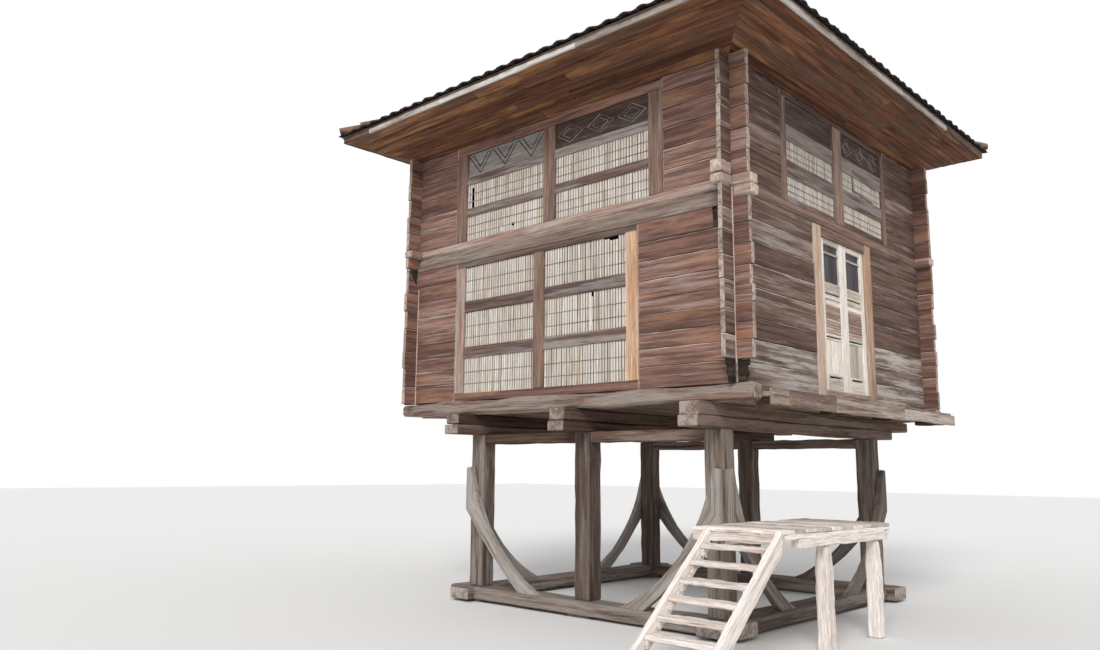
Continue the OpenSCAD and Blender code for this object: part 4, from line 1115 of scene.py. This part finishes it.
def clay(name, light, dark, grime, eave_shade, eave_shade_z):
    """Fired clay, stained in patches, with nearly black painted shade along the eaves' lowest band.
    """
    _, tree, shader = new_finish(name, 0.9, 0.2)
    place = node(tree, "ShaderNodeTexCoord").outputs["Object"]
    coarse = stretched_noise(tree, place, (6, 6, 6), 4, 2.0)
    fine = stretched_noise(tree, place, (70, 70, 70), 3, 4.0)
    colour = mixed(tree, attribute(tree, "tone", "Fac"), dark, light)
    colour = mixed(tree, ramp(tree, coarse, 0.45, 0.62, 0.0, 0.85), colour, grime)
    grain = mixed(tree, fine, (0.78, 0.78, 0.78), (1.18, 1.18, 1.18))
    colour = mixed(tree, 1.0, colour, grain, "MULTIPLY")
    up = node(tree, "ShaderNodeSeparateXYZ")
    tree.links.new(place, up.inputs[0])
    # Painted shade: the lowest band of tiles along the eaves is darkened to nearly black.
    clear_of_shade = ramp(tree, up.outputs["Z"], eave_shade_z + 0.045, eave_shade_z + 0.11)
    tree.links.new(mixed(tree, clear_of_shade, eave_shade, colour), shader.inputs["Base Color"])
    bumped(tree, shader, fine, 0.004, 0.5)


def barrel(name, chord, rise, thick, length, narrow, hollow=False):
    """A tile's mesh, lying along y with its lower end at y = 0, arched up (or down)."""
    radius = (chord * chord / 4 + rise * rise) / (2 * rise)
    only()
    bpy.ops.mesh.primitive_cylinder_add(
        vertices=24, radius=radius, depth=length, end_fill_type="NOTHING",
        rotation=(-pi / 2, 0, 0), location=(0, length / 2, rise - radius))
    tile = bpy.context.object
    tile.name = name
    bpy.ops.object.transform_apply(location=True, rotation=True)
    with whole_mesh(tile):
        bpy.ops.mesh.bisect(plane_co=(0, 0, 0), plane_no=(0, 0, 1), clear_inner=True)
    shell = tile.modifiers.new("thickness", "SOLIDIFY")
    shell.thickness = thick
    bpy.ops.object.modifier_apply(modifier=shell.name)
    shape = bmesh.new()
    shape.from_mesh(tile.data)
    upper_end = [v for v in shape.verts if v.co.y > length / 2]
    bmesh.ops.scale(shape, verts=upper_end, vec=(narrow, 1, narrow))
    if hollow:
        bmesh.ops.rotate(shape, verts=shape.verts, cent=(0, 0, 0),
                         matrix=Matrix.Rotation(pi, 3, "Y"))
    bmesh.ops.recalc_face_normals(shape, faces=shape.faces)
    shape.to_mesh(tile.data)
    shape.free()
    mesh = tile.data
    bpy.data.objects.remove(tile)
    return mesh


def laid(tile, where, tilt, spread, tones):
    """A copy of a tile in its place, tilted and turned a little on its own."""
    tilt += rng.uniform(-spread, spread)
    where = where @ Matrix.Rotation(radians(tilt), 4, "X")
    where = where @ Matrix.Rotation(rng.uniform(-0.02, 0.02), 4, "Z")
    mesh = tile.copy()
    mesh.transform(where)
    set_tone(mesh, rng.uniform(*tones))
    return link("tile", mesh)


# The fifth colour is the painted shade along the eaves.
clay("roof_clay", (0.30, 0.155, 0.105), (0.135, 0.085, 0.068), (0.085, 0.075, 0.068),
     (0.042, 0.035, 0.035), SEAT)
cover = barrel("cover_tile", 0.165, 0.034, 0.012, 0.30, 0.88)
channel = barrel("channel_tile", 0.16, 0.018, 0.012, 0.30, 0.92, hollow=True)
cap = barrel("cap_tile", 0.205, 0.125, 0.014, 0.37, 0.84)
for side in SIDES:
    start, length, turn = roof_side(side, -LIP)
    base = on_side(start, SEAT, turn, ROOF_PITCH)
    columns = round(length / COLUMN)
    pitch = length / columns
    tiles = []
    for c in range(columns + 1):
        for r in range(ROWS):
            inward = r * ROW * cos(ROOF_PITCH)
            for tile, u, lift in ((channel, c * pitch, CHANNEL_LIFT),
                                  (cover, (c + 0.5) * pitch, COVER_LIFT)):
                if inward < min(u, length - u) + 0.1:
                    aside, up = rng.uniform(-0.006, 0.006, 2)
                    v = r * ROW + up * 2 + (0.008 if r == 0 else 0)
                    where = base @ Matrix.Translation((u + aside, v, lift))
                    tiles.append(laid(tile, where, -3.2, 0.6, (0.1, 0.9)))
    field = joined(tiles)
    mitre(field, start, length, turn)
    nail_up(side + "_tiles", [field], "roof_clay", ["roof_tiles"], smooth=40)

hip_run = (EAVE_HIGH[0] - EAVE_LOW[0]) / 2
reach = hip_run + CAP_LIP
caps = []
for side in SIDES:
    start, length, turn = roof_side(side, -CAP_LIP)
    a = Vector((*start, CAP_SEAT - CAP_LIP * tan(ROOF_PITCH)))
    lean = turn + pi / 4
    b = a + Vector((reach * cos(lean) * sqrt(2), reach * sin(lean) * sqrt(2),
                    reach * tan(ROOF_PITCH)))
    count = ceil((b - a).length / CAP_ROW)
    spin = (b - a).to_track_quat("Y", "Z").to_matrix().to_4x4()
    for i in range(count):
        where = Matrix.Translation(a + (b - a) * (i / count)) @ spin
        caps.append(laid(cap, where, -2.6, 0.5, (0.2, 0.95)))
only()
low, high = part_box("roof_caps")
bpy.ops.mesh.primitive_uv_sphere_add(
    segments=20, ring_count=10, radius=KNOB,
    location=((low[0] + high[0]) / 2, (EAVE_LOW[1] + EAVE_HIGH[1]) / 2, high[2] - KNOB))
knob = bpy.context.object
bpy.ops.object.transform_apply(location=True)
trim(knob, (0, 0, high[2] - 0.19), (0, 0, -1))
set_tone(knob.data, 0.4)
nail_up("hip_caps", caps + [knob], "roof_clay", ["roof_caps"], smooth=40)

# %% [markdown]
# Beside the door stands a small bleached landing with an open stair. It is a little
# askew, so its pieces are cut square, measured from one corner, and are then turned
# two degrees together.

# %% Landing and stair
ASKEW = radians(-2)
CORNER = (span("landing_boards", 0)[0], -0.76, 0)
DECK, WIDE, LONG = 1.10, 0.93, 2.10
SIDE, STAIR, POST = 0.055, 0.68, 0.13
TREAD, TREADS, RUN = 0.045, 7, 0.16
RISE = DECK / (TREADS + 1)


def build(name, parts, node_name):
    """Turn the pieces of the landing askew and nail them up."""
    swing = Matrix.Translation(CORNER) @ Matrix.Rotation(ASKEW, 4, "Z")
    for piece in parts:
        piece.data.transform(swing)
    return nail_up(name, parts, "landing_timber", [node_name])


parts, y = [], 0.0
for w in (0.24, 0.19, 0.22, 0.25, 0.18, 0.23, 0.21, 0.20, 0.38):
    parts.append(board((0.0, y, DECK - 0.035 + rng.uniform(0, 0.003)), (WIDE, y + w - 0.005, DECK),
                       wander=0.005))
    y += w
build("landing_deck", parts, "landing_boards")

parts = [board((0, 0, 0.98), (WIDE, SIDE, 1.065), wander=0.006, tone=0.55),
         board((0, LONG - SIDE, 0.98), (WIDE, LONG, 1.065), wander=0.006)]
for x in (0.15, WIDE - 0.09):
    for y0, z0, z1, tone in ((SIDE, 1.02, 1.065, 0.8), (0.30, 0.94, 1.02, 0.7)):
        parts.append(board((x, y0, z0), (x + 0.09, LONG - SIDE, z1), "y", wander=0.005, tone=tone))
build("landing_bearers", parts, "landing_frame")

parts = []
x = WIDE - POST
for y in (0.77, 1.77):
    post = board((x, y, 0), (x + POST, y + POST, 0.94), "z", "long", 0.006, 0.016,
                 rng.uniform(0.5, 0.8))
    points = coordinates(post.data)
    share = 1 - 0.24 * np.clip((points[:, 2] - 0.66) / 0.26, 0, 1) ** 1.3
    centre = np.array([x + POST / 2, y + POST / 2])
    points[:, :2] = centre + (points[:, :2] - centre) * share[:, None]
    post.data.vertices.foreach_set("co", points.ravel())
    parts.append(post)
build("landing_uprights", parts, "landing_posts")

slope = atan2(RISE, RUN)
reach = DECK / sin(slope)
first, last = WIDE - SIDE - STAIR, WIDE - SIDE
parts = []
for x in (first - SIDE, last):
    string = board((x, -0.2, -0.145), (x + SIDE, reach + 0.2, 0), "y", ease=0.007, tone=0.75)
    string.data.transform(
        Matrix.Translation((0, 0, DECK)) @ Matrix.Rotation(pi + slope, 4, "X")
        @ Matrix.Rotation(pi, 4, "Y") @ Matrix.Translation((-2 * x - SIDE, 0, 0)))
    trim(string, (0, 0, 0), (0, 1, 0))
    trim(string, (0, 0, 0), (0, 0, -1))
    parts.append(string)
for k in range(1, TREADS + 1):
    y, z = -RUN * k, DECK - RISE * k - TREAD
    for x in (first, last - 0.04):
        cleat = board((x, y, z - 0.065), (x + 0.04, y + 0.11, z), "y", "short", 0.001, 0.003, 0.5)
        trim(cleat, (0, y, z - 0.065), (0, 0.065, -0.11))
        parts.append(cleat)
right_way_out(build("stair_sides", parts, "stair_stringers"))
parts = [board((first, -RUN * k, DECK - RISE * k - TREAD), (last, -RUN * k + 0.15, DECK - RISE * k),
               "x", "long", 0.004, 0.008, rng.uniform(0.3, 0.7)) for k in range(1, TREADS + 1)]
build("stair_steps", parts, "stair_treads")

# %% [markdown]
# The floors and the roof boarding are hidden behind the rest, so they keep the plain
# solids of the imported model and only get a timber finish.

# %% Carried-over pieces
for name, finish in (("lower_floor", inner_y), ("upper_floor", inner_x), ("roof_deck", inner_x)):
    piece = bpy.data.objects[name]
    for slot in piece.material_slots:
        slot.material = finish
    print(name, len(piece.data.polygons), "faces kept")
